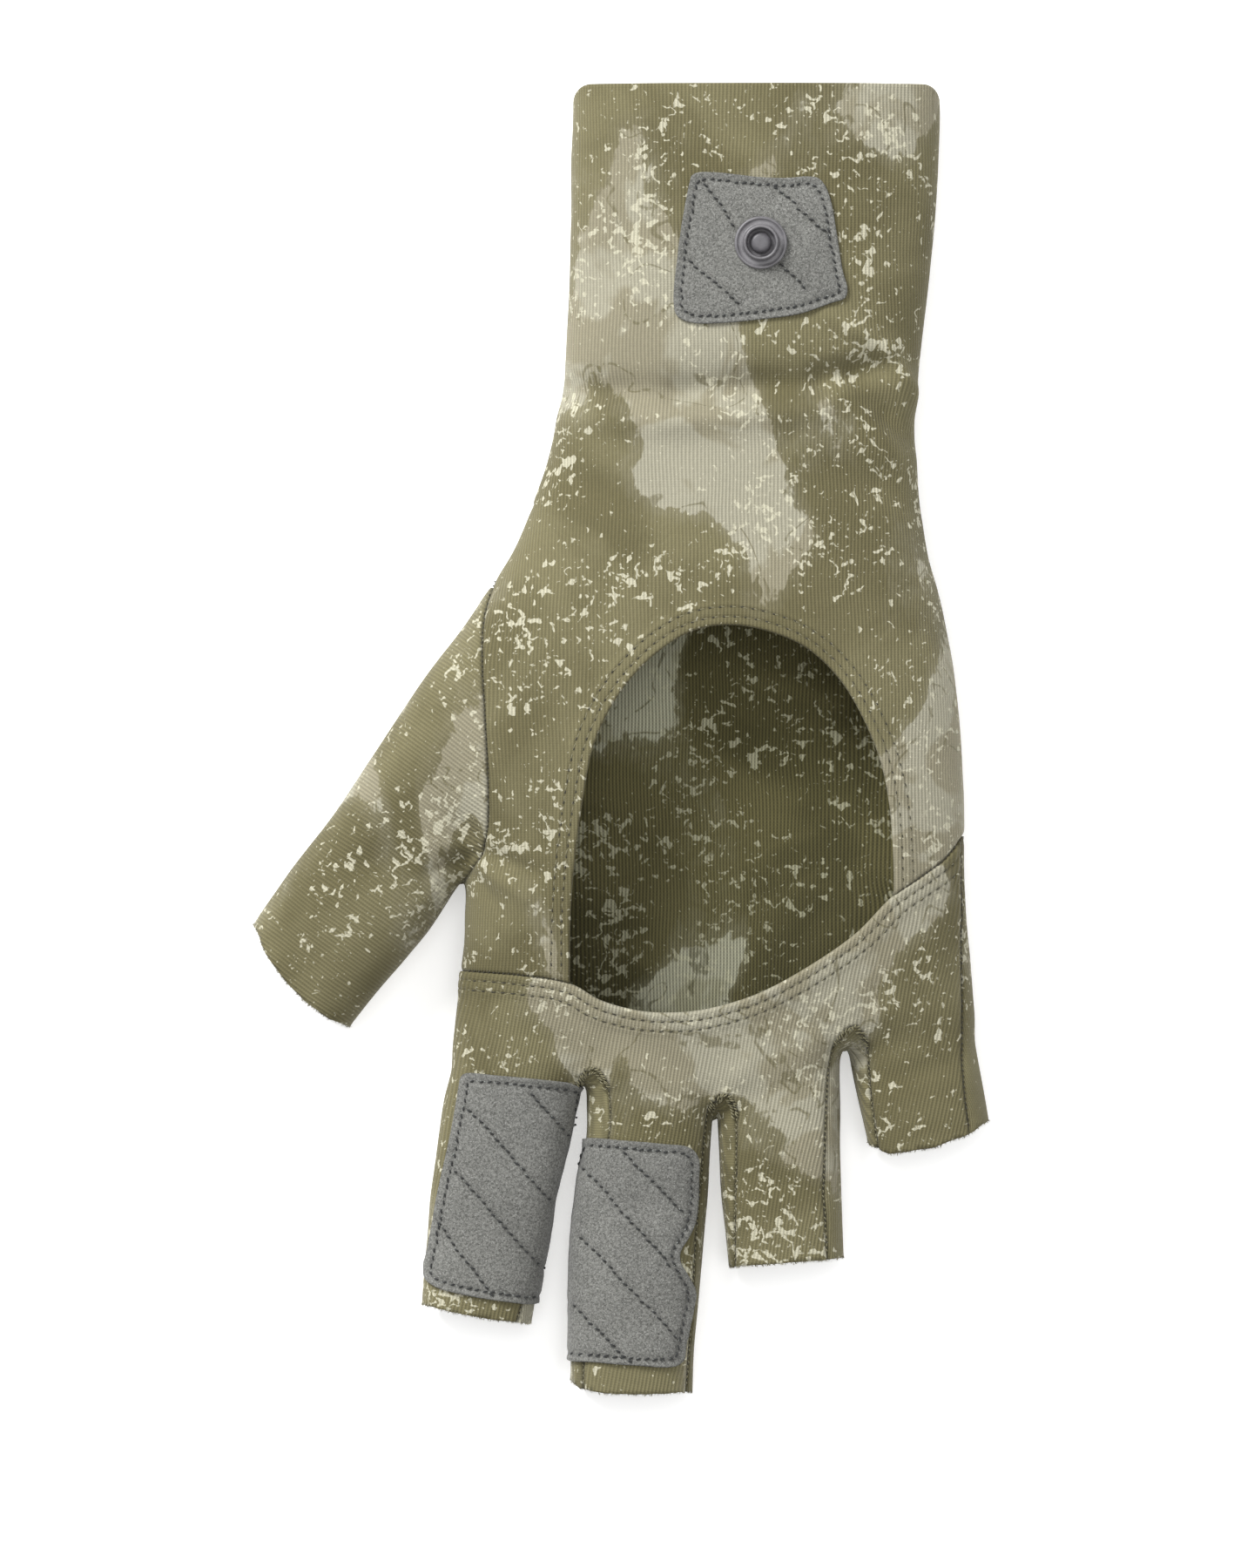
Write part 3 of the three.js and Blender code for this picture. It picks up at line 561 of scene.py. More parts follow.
# ------------------------------------------------------------------ cutting a mesh along the level lines of a function
def cut(points, tris, fn, level=0.0, keep=True, snap=0.22, locked=None):
    """Splits triangles where fn == level. With keep, only the part above it stays."""
    if locked is None:
        locked = np.zeros(len(points), bool)
    points = points.copy()
    f = fn(points) - level
    raw = f.copy()
    near = (np.abs(f) < snap) & ~locked
    if near.any():
        e = 0.03
        p = points[near]
        g = np.stack([(fn(p + d) - fn(p - d)) / (2 * e) for d in np.eye(3) * e], 1)
        step = -(f[near] / np.maximum((g**2).sum(1), 0.2))[:, None] * g
        size = np.linalg.norm(step, axis=1)
        fine = size < snap * 1.6
        moved = p + step
        idx = np.where(near)[0][fine]
        points[idx] = moved[fine]
        f[idx] = 0.0
    f[np.abs(f) < 1e-4] = 0.0
    s = np.sign(f).astype(int)
    ts = s[tris]
    mixed = (ts.max(1) > 0) & (ts.min(1) < 0)
    whole = tris[~mixed]
    t = tris[mixed]
    if len(t):
        st = s[t]
        zero = (st == 0).any(1)
        parts = [whole]
        pairs = []
        # with a vertex on the line: rotate it to the front
        z = t[zero]
        k = (s[z] == 0).argmax(1)
        z = np.take_along_axis(z, (k[:, None] + np.arange(3)) % 3, 1)
        # without: rotate the lone vertex to the front
        q = t[~zero]
        sq = s[q]
        lone = np.where(sq.sum(1) > 0, -1, 1)
        k = (sq == lone[:, None]).argmax(1)
        q = np.take_along_axis(q, (k[:, None] + np.arange(3)) % 3, 1)
        e = np.vstack([z[:, 1:3], q[:, [0, 1]], q[:, [0, 2]]])
        e = np.sort(e, 1)
        key, inv = np.unique(e, axis=0, return_inverse=True)
        inv = inv.ravel()
        fa, fb = f[key[:, 0]], f[key[:, 1]]
        w = (fa / (fa - fb))[:, None]
        fresh = points[key[:, 0]] * (1 - w) + points[key[:, 1]] * w
        base = len(points)
        points = np.vstack([points, fresh])
        both = locked[key[:, 0]] & locked[key[:, 1]]
        locked = np.concatenate([locked, both])
        f = np.concatenate([f, np.zeros(len(fresh))])
        raw = np.concatenate([raw, np.zeros(len(fresh))])
        mz = base + inv[: len(z)]
        m1 = base + inv[len(z) : len(z) + len(q)]
        m2 = base + inv[len(z) + len(q) :]
        parts += [
            np.column_stack([z[:, 0], z[:, 1], mz]),
            np.column_stack([z[:, 0], mz, z[:, 2]]),
            np.column_stack([q[:, 0], m1, m2]),
            np.column_stack([m1, q[:, 1], q[:, 2]]),
            np.column_stack([m1, q[:, 2], m2]),
        ]
        tris = np.vstack(parts)
    else:
        tris = whole
    if keep:
        # a triangle of a steep wall whose corners all lie on the line goes to one side of it, by where it was
        flat = np.abs(f[tris]).max(1) < 1e-9
        tris = tris[np.where(flat, raw[tris].sum(1) > 0, f[tris].sum(1) > 1e-9)]
        on = np.abs(f) < 1e-9
        locked = locked | on
    used = np.unique(tris)
    remap = np.full(len(points), -1)
    remap[used] = np.arange(len(used))
    return points[used], remap[tris], locked[used]


def quarter(points, tris):
    """Each triangle into four, with the new points drawn onto the surface."""
    e = np.sort(np.vstack([tris[:, [0, 1]], tris[:, [1, 2]], tris[:, [2, 0]]]), 1)
    key, inv = np.unique(e, axis=0, return_inverse=True)
    inv = inv.ravel()
    mid = onto_surface((points[key[:, 0]] + points[key[:, 1]]) / 2, 1, 0.2)
    n = len(tris)
    a, b, c = (len(points) + inv[k * n : (k + 1) * n] for k in range(3))
    t = np.vstack([
        np.column_stack([tris[:, 0], a, c]),
        np.column_stack([a, tris[:, 1], b]),
        np.column_stack([c, b, tris[:, 2]]),
        np.column_stack([a, b, c]),
    ])
    return np.vstack([points, mid]), t


def rim_edges(tris):
    e = np.vstack([tris[:, [0, 1]], tris[:, [1, 2]], tris[:, [2, 0]]])
    key, inv, count = np.unique(np.sort(e, 1), axis=0, return_inverse=True, return_counts=True)
    return e[count[inv.ravel()] == 1]


# ------------------------------------------------------------------ wrinkles
def value_noise(p, scale, seed):
    """Smooth noise from -1 to 1, the same on every run."""
    q = p / scale
    i = np.floor(q).astype(np.int64)
    f = q - i
    f = f * f * f * (f * (f * 6 - 15) + 10)
    out = np.zeros(len(p))
    for dx in (0, 1):
        for dy in (0, 1):
            for dz in (0, 1):
                h = (i[:, 0] + dx) * 374761393 + (i[:, 1] + dy) * 668265263 + (i[:, 2] + dz) * 2147483647 + seed * 974711
                h = (h ^ (h >> 13)) * 1274126177
                h = (h ^ (h >> 16)) & 0xFFFF
                w = (f[:, 0] if dx else 1 - f[:, 0]) * (f[:, 1] if dy else 1 - f[:, 1]) * (f[:, 2] if dz else 1 - f[:, 2])
                out += w * (h / 32767.5 - 1)
    return out


FOLD_ROWS = np.array(FOLDS)


def wrinkles(p, n):
    up = np.clip(n[:, 2] * 1.6 + 0.25, 0, 1)
    free = np.clip(p[:, 2] / 4.0, 0, 1)  # nothing moves where it lies flat
    out = 0.22 * value_noise(p * [1, 0.7, 1], 21.0, 3) + 0.10 * value_noise(p, 8.0, 5)
    out *= free
    q = p[:, :2]
    for x0, y0, x1, y1, w, h in FOLD_ROWS:
        a = np.array([x0, y0])
        d = np.array([x1, y1]) - a
        size = np.hypot(*d)
        t = (q - a) @ d / size**2
        r = q - a - np.clip(t, 0, 1)[:, None] * d
        dist = np.hypot(r[:, 0], r[:, 1])
        along = np.clip(1 - np.abs(t - 0.5) * 1.0, 0, 1)
        out += h * np.exp(-((dist / w) ** 2)) * along * up
    return out


# ------------------------------------------------------------------ edges of the panels
def seam_profile(x, deep=0.42, reach=0.42):
    """Outside height at distance x from a sewn seam."""
    return -deep * np.exp(-((np.maximum(x, 0) / reach) ** 1.4))


def fold_profile(x, r=0.5):
    """Rounding of a folded edge."""
    t = np.clip(r - np.maximum(x, 0), 0, r)
    return -(r - np.sqrt(np.maximum(r * r - t * t, 0)))


def row_profile(x, at, deep=0.12, wide=0.24):
    """Groove under a row of stitches at distance `at` from the edge."""
    return -deep * np.exp(-(((x - at) / wide) ** 2))


HEM_ROWS = (1.6, 3.5)


def hem_profile(x):
    """Folded hem with two rows of stitches: proud of the single cloth, dipping at the rows."""
    proud = 0.22 / (1 + np.exp((x - 4.3) / 0.25))
    pillow = 0.02 * np.exp(-(((x - 2.55) / 0.6) ** 2)) + 0.02 * np.exp(-(((x - 0.8) / 0.5) ** 2))
    return proud + pillow + sum(row_profile(x, a) for a in HEM_ROWS)


LOOPS = {
    "seam": (0.12, 0.28, 0.5, 0.8, 1.2),
    "hem": (0.08, 0.2, 0.38, 0.6, 0.9, 1.2, 1.42, 1.6, 1.78, 2.05, 2.55, 3.05, 3.32, 3.5, 3.68, 3.95, 4.2, 4.5, 4.9),
    "fold": (0.08, 0.22, 0.45, 0.75, 1.2),
    "raw": (),
    "side": (0.3, 0.7),
}


def edge_offsets(kind, x):
    """Outside and inside offsets near an edge at distance x from it, and how much painted shade darkens the cloth
    there, the shade that falls in its groove.
    """
    if kind == "seam":
        return seam_profile(x), 0.8 * seam_profile(x), np.exp(-((x / 0.32) ** 2))
    if kind == "side":
        return seam_profile(x, 0.35, 0.6), 0 * x, 0.6 * np.exp(-((x / 0.3) ** 2))
    if kind == "hem":
        f = fold_profile(x)
        rows = sum(np.exp(-(((x - a) / 0.26) ** 2)) for a in HEM_ROWS)
        return hem_profile(x) + f, -f - 0.28 / (1 + np.exp((x - 4.3) / 0.28)), 0.34 * rows
    if kind == "fold":
        f = fold_profile(x, 0.45)
        return f, -f * 0.8, 0.35 * np.exp(-((x / 0.25) ** 2))
    return 0 * x, 0 * x, 0 * x


print("curves", flush=True)
thumb_line = curve(THUMB_SEAM)
hem_line = curve(FINGER_HEM)
arch_line = curve(ARCH)
outer_line = curve(OUTER_SEAM)
gussets = {
    "fourchette_index_middle": curve(GUSSET_INDEX_MIDDLE, 0.6),
    "fourchette_middle_ring": curve(GUSSET_MIDDLE_RING, 0.6),
    "fourchette_ring_little": curve(GUSSET_RING_LITTLE, 0.6),
}
thumb_area = np.vstack([thumb_line, [(-36, -41), (-42, -58), (-50, -80), (-110, -110), (-130, 60), (-50, 70)]])
below_hem = np.vstack([hem_line, [(130, -15), (130, -200), (-130, -200), (-130, -44)]])
opening_area = arch_line
outer_area = np.vstack([outer_line, [(75, -150), (130, -150), (130, -12)]])
end_areas = {k: np.array(v) for k, v in ENDS.items()}


def cuff_end(p):
    t = TABLES["hand"]
    left, right = (np.interp(p[:, 1], t[:, 0], t[:, k]) for k in (1, 2))
    d = np.clip(np.minimum(p[:, 0] - left, right - p[:, 0]), 0, CUFF_CORNER)
    return CUFF_END - (CUFF_CORNER - np.sqrt(CUFF_CORNER**2 - (CUFF_CORNER - d) ** 2)) - p[:, 1]


def inside(area):
    return lambda p: inside_distance(p, area)


def outside(area):
    return lambda p: -inside_distance(p, area)


def above_side(p):
    return p[:, 2] - SIDE_SEAM_Z


def past_ends(names):
    def fn(p):
        return np.min([-inside_distance(p, end_areas[k]) for k in names], 0) + 0.12 * value_noise(p, 1.2, 31)

    return fn


def wraps_under(p):
    """Above 0 on the back panel: low down, or past the outer seam."""
    low = SIDE_SEAM_Z - p[:, 2]
    side = np.maximum(inside_distance(p, outer_area), np.minimum(p[:, 0] - 58.0, 10.0 - p[:, 2]))
    over = np.minimum(side, inside_distance(p, below_hem))
    return np.maximum(low, over)


PIECES = {
    "palm_panel": [(outside(thumb_area), "seam"), (outside(below_hem), "seam"), (outside(opening_area), "hem"), (lambda p: -wraps_under(p), "side"), (cuff_end, "fold")],
    "finger_panel": [(inside(below_hem), "hem"), (lambda p: -wraps_under(p), "seam"), (outside(gussets["fourchette_index_middle"]), "seam"), (outside(gussets["fourchette_middle_ring"]), "seam"), (outside(gussets["fourchette_ring_little"]), "seam"), (past_ends(["index", "middle", "ring", "little"]), "raw")],
    "thumb_panel": [(inside(thumb_area), "seam"), (past_ends(["thumb"]), "raw")],
    "back_panel": [(outside(thumb_area), "seam"), (wraps_under, "side"), (past_ends(["index", "middle", "ring", "little"]), "raw"), (cuff_end, "fold")],
}
for name, area in gussets.items():
    PIECES[name] = [(inside(area), "seam"), (above_side, "side"), (past_ends(["index", "middle", "ring", "little"]), "raw")]

KNIT_TURN = {  # how each panel's knit lies: the direction of its ribs, in degrees from +Y
    "palm_panel": 0.0,
    "finger_panel": -11.0,
    "thumb_panel": 62.0,
    "back_panel": 0.0,
    "fourchette_index_middle": 0.0,
    "fourchette_middle_ring": 0.0,
    "fourchette_ring_little": 0.0,
}
PRINT_PLACE = {  # where each panel lies on the printed cloth
    "palm_panel": (0.0, 0.0, 0.0),
    "finger_panel": (140.0, 60.0, 30.0),
    "thumb_panel": (-210.0, 40.0, 90.0),
    "back_panel": (300.0, -80.0, 150.0),
    "fourchette_index_middle": (425.0, 68.0, 12.0),
    "fourchette_middle_ring": (520.0, 110.0, 40.0),
    "fourchette_ring_little": (620.0, 210.0, 80.0),
}


def arc_table(ratio):
    """Way along a section from its top for a half width of 1, over the angle seen from the section's middle."""
    t = np.linspace(math.pi / 2, -math.pi / 2, 721)
    n = np.where(t > 0, TOP_POWER, BACK_POWER)
    x = np.abs(np.cos(t)) ** (2 / n)
    z = np.sign(np.sin(t)) * np.abs(np.sin(t)) ** (2 / n)
    s = np.concatenate([[0], np.cumsum(np.hypot(np.diff(x), np.diff(z) / ratio))])
    return np.arctan2(z, x)[::-1], s[::-1], s[-1]


HAND_ARC, FINGER_ARC = arc_table(3.0), arc_table(1.4)


def arc(u, z, wide, top, table, from_below=False):
    """Signed way along the section to a point u across and z up."""
    mid = WIDEST * top
    h = np.where(z >= mid, top - mid, mid * 1.12)
    s = np.interp(np.arctan2((z - mid) / h, np.abs(u) / wide), table[0], table[1])
    if from_below:
        s = table[2] - s
    return np.sign(u) * s * wide


def cloth_coordinates(name, p):
    """Place on the cloth in mm: across the ribs, along the ribs."""
    a = math.radians(KNIT_TURN[name])
    if name == "thumb_panel":
        q = p[:, :2] - THUMB_BASE
        s, u = q @ THUMB_AXIS, q @ THUMB_ACROSS
        outer, inner, top = (np.interp(s, THUMB[:, 0], THUMB[:, k]) for k in (1, 2, 3))
        return np.stack([s, arc(u - (inner - outer) / 2, p[:, 2], (inner + outer) / 2, top, FINGER_ARC)], 1)
    t = TABLES["hand"]
    y = p[:, 1]
    left, right, top = (np.interp(y, t[:, 0], t[:, k]) for k in (1, 2, 3))
    mid = (left + right) / 2
    u = p[:, 0]
    if name.startswith("fourchette"):
        u = u * 0.9 + (16.0 - p[:, 2]) * 0.9
    else:
        u = u + arc(u - mid, p[:, 2], (right - left) / 2, top, HAND_ARC, name == "back_panel") - (u - mid)
    if name == "finger_panel":
        best = np.full(len(p), 1e9)
        side = np.ones(len(p))
        for k in ("index", "middle", "ring", "little"):
            f = TABLES[k]
            left, right = (np.interp(y, f[:, 0], f[:, c]) for c in (1, 2))
            off = p[:, 0] - (left + right) / 2
            far = np.abs(off) / (right - left)
            m = far < best
            best[m] = far[m]
            side[m] = np.sign(off[m])
        low = np.maximum(11.5 - p[:, 2], 0)
        u = p[:, 0] + side * 0.9 * low**2 / (low + 1.0)
    c, s = math.cos(a), math.sin(a)
    return np.stack([u * c + y * s, -u * s + y * c], 1)


# ------------------------------------------------------------------ building objects
def new_object(name, points, faces, materials, face_slots=None, attributes=None):
    """points in mm in the pattern frame; faces is a list of index arrays, all with one number of corners each."""
    me = bpy.data.meshes.new(name)
    co = (points + SHIFT) * 0.001
    me.vertices.add(len(co))
    me.vertices.foreach_set("co", co.astype(np.float32).ravel())
    loops = np.concatenate([f.ravel() for f in faces]).astype(np.int32)
    sizes = np.concatenate([np.full(len(f), f.shape[1]) for f in faces])
    me.loops.add(len(loops))
    me.loops.foreach_set("vertex_index", loops)
    me.polygons.add(len(sizes))
    me.polygons.foreach_set("loop_start", np.concatenate([[0], np.cumsum(sizes)[:-1]]).astype(np.int32))
    me.polygons.foreach_set("loop_total", sizes.astype(np.int32))
    me.polygons.foreach_set("use_smooth", np.ones(len(sizes), bool))
    if face_slots is not None:
        me.polygons.foreach_set("material_index", face_slots.astype(np.int32))
    for m in materials:
        me.materials.append(m)
    me.update(calc_edges=True)
    for key, value in (attributes or {}).items():
        value = np.asarray(value, np.float32)
        if value.ndim == 1:
            me.attributes.new(key, "FLOAT", "POINT").data.foreach_set("value", value)
        else:
            me.attributes.new(key, "FLOAT_VECTOR", "POINT").data.foreach_set("vector", value.ravel())
    me.validate(clean_customdata=False)
    ob = bpy.data.objects.new(name, me)
    bpy.context.scene.collection.objects.link(ob)
    return ob


def capsule_row(centres, along, up, length, radius, sink=0.10, sides=6, rings=5):
    """Stitches: short bent capsules. Returns points and quads."""
    m = len(centres)
    side = np.cross(up, along)
    side /= np.maximum(np.linalg.norm(side, axis=1, keepdims=True), 1e-9)
    up = np.cross(along, side)
    pts = []
    for k in range(rings):
        t = k / (rings - 1) * 2 - 1
        r = radius * math.sqrt(max(1 - abs(t) ** 3.2, 0.05))
        lift = radius * 0.75 - (radius + sink) * abs(t) ** 2.6
        c = centres + along * (t * length / 2) + up * lift
        for j in range(sides):
            a = 2 * math.pi * j / sides
            pts.append(c + side * (math.cos(a) * r) + up * (math.sin(a) * r))
    pts = np.stack(pts, 1).reshape(-1, 3)
    quads = []
    for k in range(rings - 1):
        for j in range(sides):
            a = k * sides + j
            b = k * sides + (j + 1) % sides
            quads.append((a, b, b + sides, a + sides))
    quads = np.array(quads)
    caps = np.array([list(range(sides))[::-1], [(rings - 1) * sides + j for j in range(sides)]])
    per = rings * sides
    shift = (np.arange(m) * per)[:, None, None]
    return pts, (quads[None] + shift).reshape(-1, 4), (caps[None] + shift).reshape(-1, sides)


def stitch_line(line, height, pitch=2.1, length=1.65, radius=0.17, start=0.0, stop=None, jitter=0.05, slant=0.0, lean=0.0, share=1.0):
    """Stitches along a line seen from above, at a height over the bare surface. slant turns them alternately, lean all one way."""
    c = resample(np.asarray(line, float), pitch, start, stop)
    if len(c) < 3:
        return None
    c = (c[1:] + c[:-1]) / 2
    c = c + RNG.normal(0, jitter, c.shape)
    base = drop(c)
    n = normals(base)
    h = wrinkles(base, n) + height
    p = base + n * h[:, None]
    ahead = drop(c + 0.3 * np.gradient(c, axis=0) / np.maximum(np.linalg.norm(np.gradient(c, axis=0), axis=1, keepdims=True), 1e-9))
    t = ahead - base
    t /= np.maximum(np.linalg.norm(t, axis=1, keepdims=True), 1e-9)
    turn = (lean + RNG.normal(0, 0.08, len(t)) + slant * np.where(np.arange(len(t)) % 2 == 0, 1, -1))[:, None]
    t = t + np.cross(n, t) * turn
    t /= np.linalg.norm(t, axis=1, keepdims=True)
    keep = (RNG.random(len(t)) < share) & (np.abs(field(base)) < 0.2)  # and none beside the cloth
    size = length * RNG.uniform(0.82, 1.12, (len(t), 1))
    return capsule_row(p[keep], t[keep], n[keep], size[keep], radius)


def fray(p, n, outer, inner, rim, fn, per_mm=7.0):
    """Short fibres that stand out of a cut edge, and the panel point each one starts from."""
    a, b = rim[:, 0], rim[:, 1]
    on = fn((p[a] + p[b]) / 2) < 0.06
    a, b = a[on], b[on]
    count = RNG.poisson(np.linalg.norm(p[a] - p[b], axis=1) * per_mm)
    k = np.repeat(np.arange(len(a)), count)
    a, b = a[k], b[k]
    t, s = RNG.random((len(k), 1)), RNG.random((len(k), 1))
    base = (outer[a] * (1 - t) + outer[b] * t) * s + (inner[a] * (1 - t) + inner[b] * t) * (1 - s)
    e = 0.4
    gx = fn(base + [e, 0, 0]) - fn(base - [e, 0, 0])
    gy = fn(base + [0, e, 0]) - fn(base - [0, e, 0])
    away = -np.stack([gx, gy, np.zeros(len(gx))], 1)
    away /= np.maximum(np.linalg.norm(away, axis=1, keepdims=True), 1e-6)
    away = away + RNG.normal(0, 0.5, away.shape) * [1, 1, 0.8]
    away /= np.maximum(np.linalg.norm(away, axis=1, keepdims=True), 1e-6)
    size = RNG.uniform(0.25, 0.75, (len(k), 1)) * RNG.uniform(0.6, 1.2, (len(k), 1))
    centre = base + away * size * 0.42
    centre[:, 2] = np.maximum(centre[:, 2], size[:, 0] * 0.5 + 0.05)
    sp, sq, sc = capsule_row(centre, away, n[a], size, 0.05, 0.0, 4, 3)
    return sp, sq, sc, np.repeat(a, 12)


def offset_line(line, d):
    g = np.gradient(line, axis=0)
    g /= np.maximum(np.linalg.norm(g, axis=1, keepdims=True), 1e-9)
    return line + np.stack([-g[:, 1], g[:, 0]], 1) * d


def trim(line, keep):
    """The longest run of a line's points for which keep is true."""
    m = keep(np.column_stack([line, np.full(len(line), 20.0)]))
    best, run, start = (0, 0), 0, 0
    for i, v in enumerate(m):
        if v:
            if run == 0:
                start = i
            run += 1
            if run > best[1] - best[0]:
                best = (start, start + run)
        else:
            run = 0
    return line[best[0] : best[1]]


print("base mesh", flush=True)
BASE_P, BASE_T = base_mesh()
print("base", len(BASE_P), len(BASE_T), flush=True)


def panel(name):
    """Cuts one panel out of the base surface and adds rows of points along its edges."""
    p, t = BASE_P, BASE_T
    rules = PIECES[name]
    for fn, kind in rules:
        near = fn(p) > -2.5
        t = t[near[t].any(1)]
    used = np.unique(t)
    remap = np.full(len(p), -1)
    remap[used] = np.arange(len(used))
    p, t = p[used], remap[t]
    locked = np.zeros(len(p), bool)
    for fn, kind in rules:
        p, t, locked = cut(p, t, fn, 0.0, True, 0.3, locked)
    # the largest connected part
    p, t, locked = largest(p, t, locked)
    for fn, kind in rules:
        for level in LOOPS[kind]:
            p, t, locked = cut(p, t, fn, level, False, 0.09, locked)
    free = ~locked
    p[free] = onto_surface(p[free], 1, 0.2)
    return p, t


def largest(p, t, locked):
    label = np.arange(len(p))
    for _ in range(400):
        low = label[t].min(1)
        new = label.copy()
        for k in range(3):
            np.minimum.at(new, t[:, k], low)
        new = new[new]
        if (new == label).all():
            break
        label = new
    groups, inv, count = np.unique(label[t[:, 0]], return_inverse=True, return_counts=True)
    keep = t[inv.ravel() == count.argmax()]
    used = np.unique(keep)
    remap = np.full(len(p), -1)
    remap[used] = np.arange(len(used))
    return p[used], remap[keep], locked[used]


def shell(name, p, t):
    rules = PIECES[name]
    n = normals(p)
    w = wrinkles(p, n)
    out = w.copy()
    inn = w - FABRIC
    dark = np.zeros(len(p))
    for fn, kind in rules:
        x = np.maximum(fn(p), 0)
        a, b, c = edge_offsets(kind, x)
        out += a
        inn += b
        # painted shade that falls in the grooves of seams, hem rows and folds
        dark = np.maximum(dark, c)
    inn = np.minimum(inn, out - 0.06)
    outer = p + n * out[:, None]
    inner = p + n * inn[:, None]
    outer[:, 2] = np.maximum(outer[:, 2], 0.0)
    inner[:, 2] = np.maximum(inner[:, 2], 0.3)
    return outer, inner, n, dark


def build_panel(name, materials, threads=()):
    p, t = panel(name)
    outer, inner, n, dark = shell(name, p, t)
    m = len(p)
    rim = rim_edges(t)
    side = np.vstack([np.column_stack([rim[:, 1], rim[:, 0], rim[:, 0] + m]), np.column_stack([rim[:, 1], rim[:, 0] + m, rim[:, 1] + m])])
    faces = [np.vstack([t, t[:, ::-1] + m, side])]
    slots = [np.concatenate([np.zeros(len(t)), np.ones(len(t)), np.zeros(len(side))])]
    pts = [outer, inner]
    cloth = cloth_coordinates(name, p)
    fab = np.column_stack([cloth, np.zeros(m)])
    fabs = [fab, fab]
    place = p + PRINT_PLACE[name]
    places = [place, place]
    # painted shade on the outside along seams, hems and folds; none on the inside
    darks = [dark, 0 * dark]
    count = 2 * m
    for fn, kind in PIECES[name]:
        if kind == "raw":
            sp, sq, sc, start = fray(p, n, outer, inner, rim, fn)
            pts.append(sp)
            faces += [sq + count, sc + count]
            slots += [np.zeros(len(sq)), np.zeros(len(sc))]
            fabs.append(fab[start])
            places.append(place[start])
            darks.append(np.zeros(len(sp)))
            count += len(sp)
    for st, slot in threads:
        if st is None:
            continue
        sp, sq, sc = st
        pts.append(sp)
        faces += [sq + count, sc + count]
        slots += [np.full(len(sq), slot), np.full(len(sc), slot)]
        fabs.append(sp.copy())
        places.append(sp.copy())
        darks.append(np.zeros(len(sp)))
        count += len(sp)
    ob = new_object(name, np.vstack(pts), faces, materials, np.concatenate(slots), {"fab": np.vstack(fabs), "place": np.vstack(places), "seam": np.concatenate(darks)})
    print(name, m, "points", len(t), "triangles a side", flush=True)
    return ob


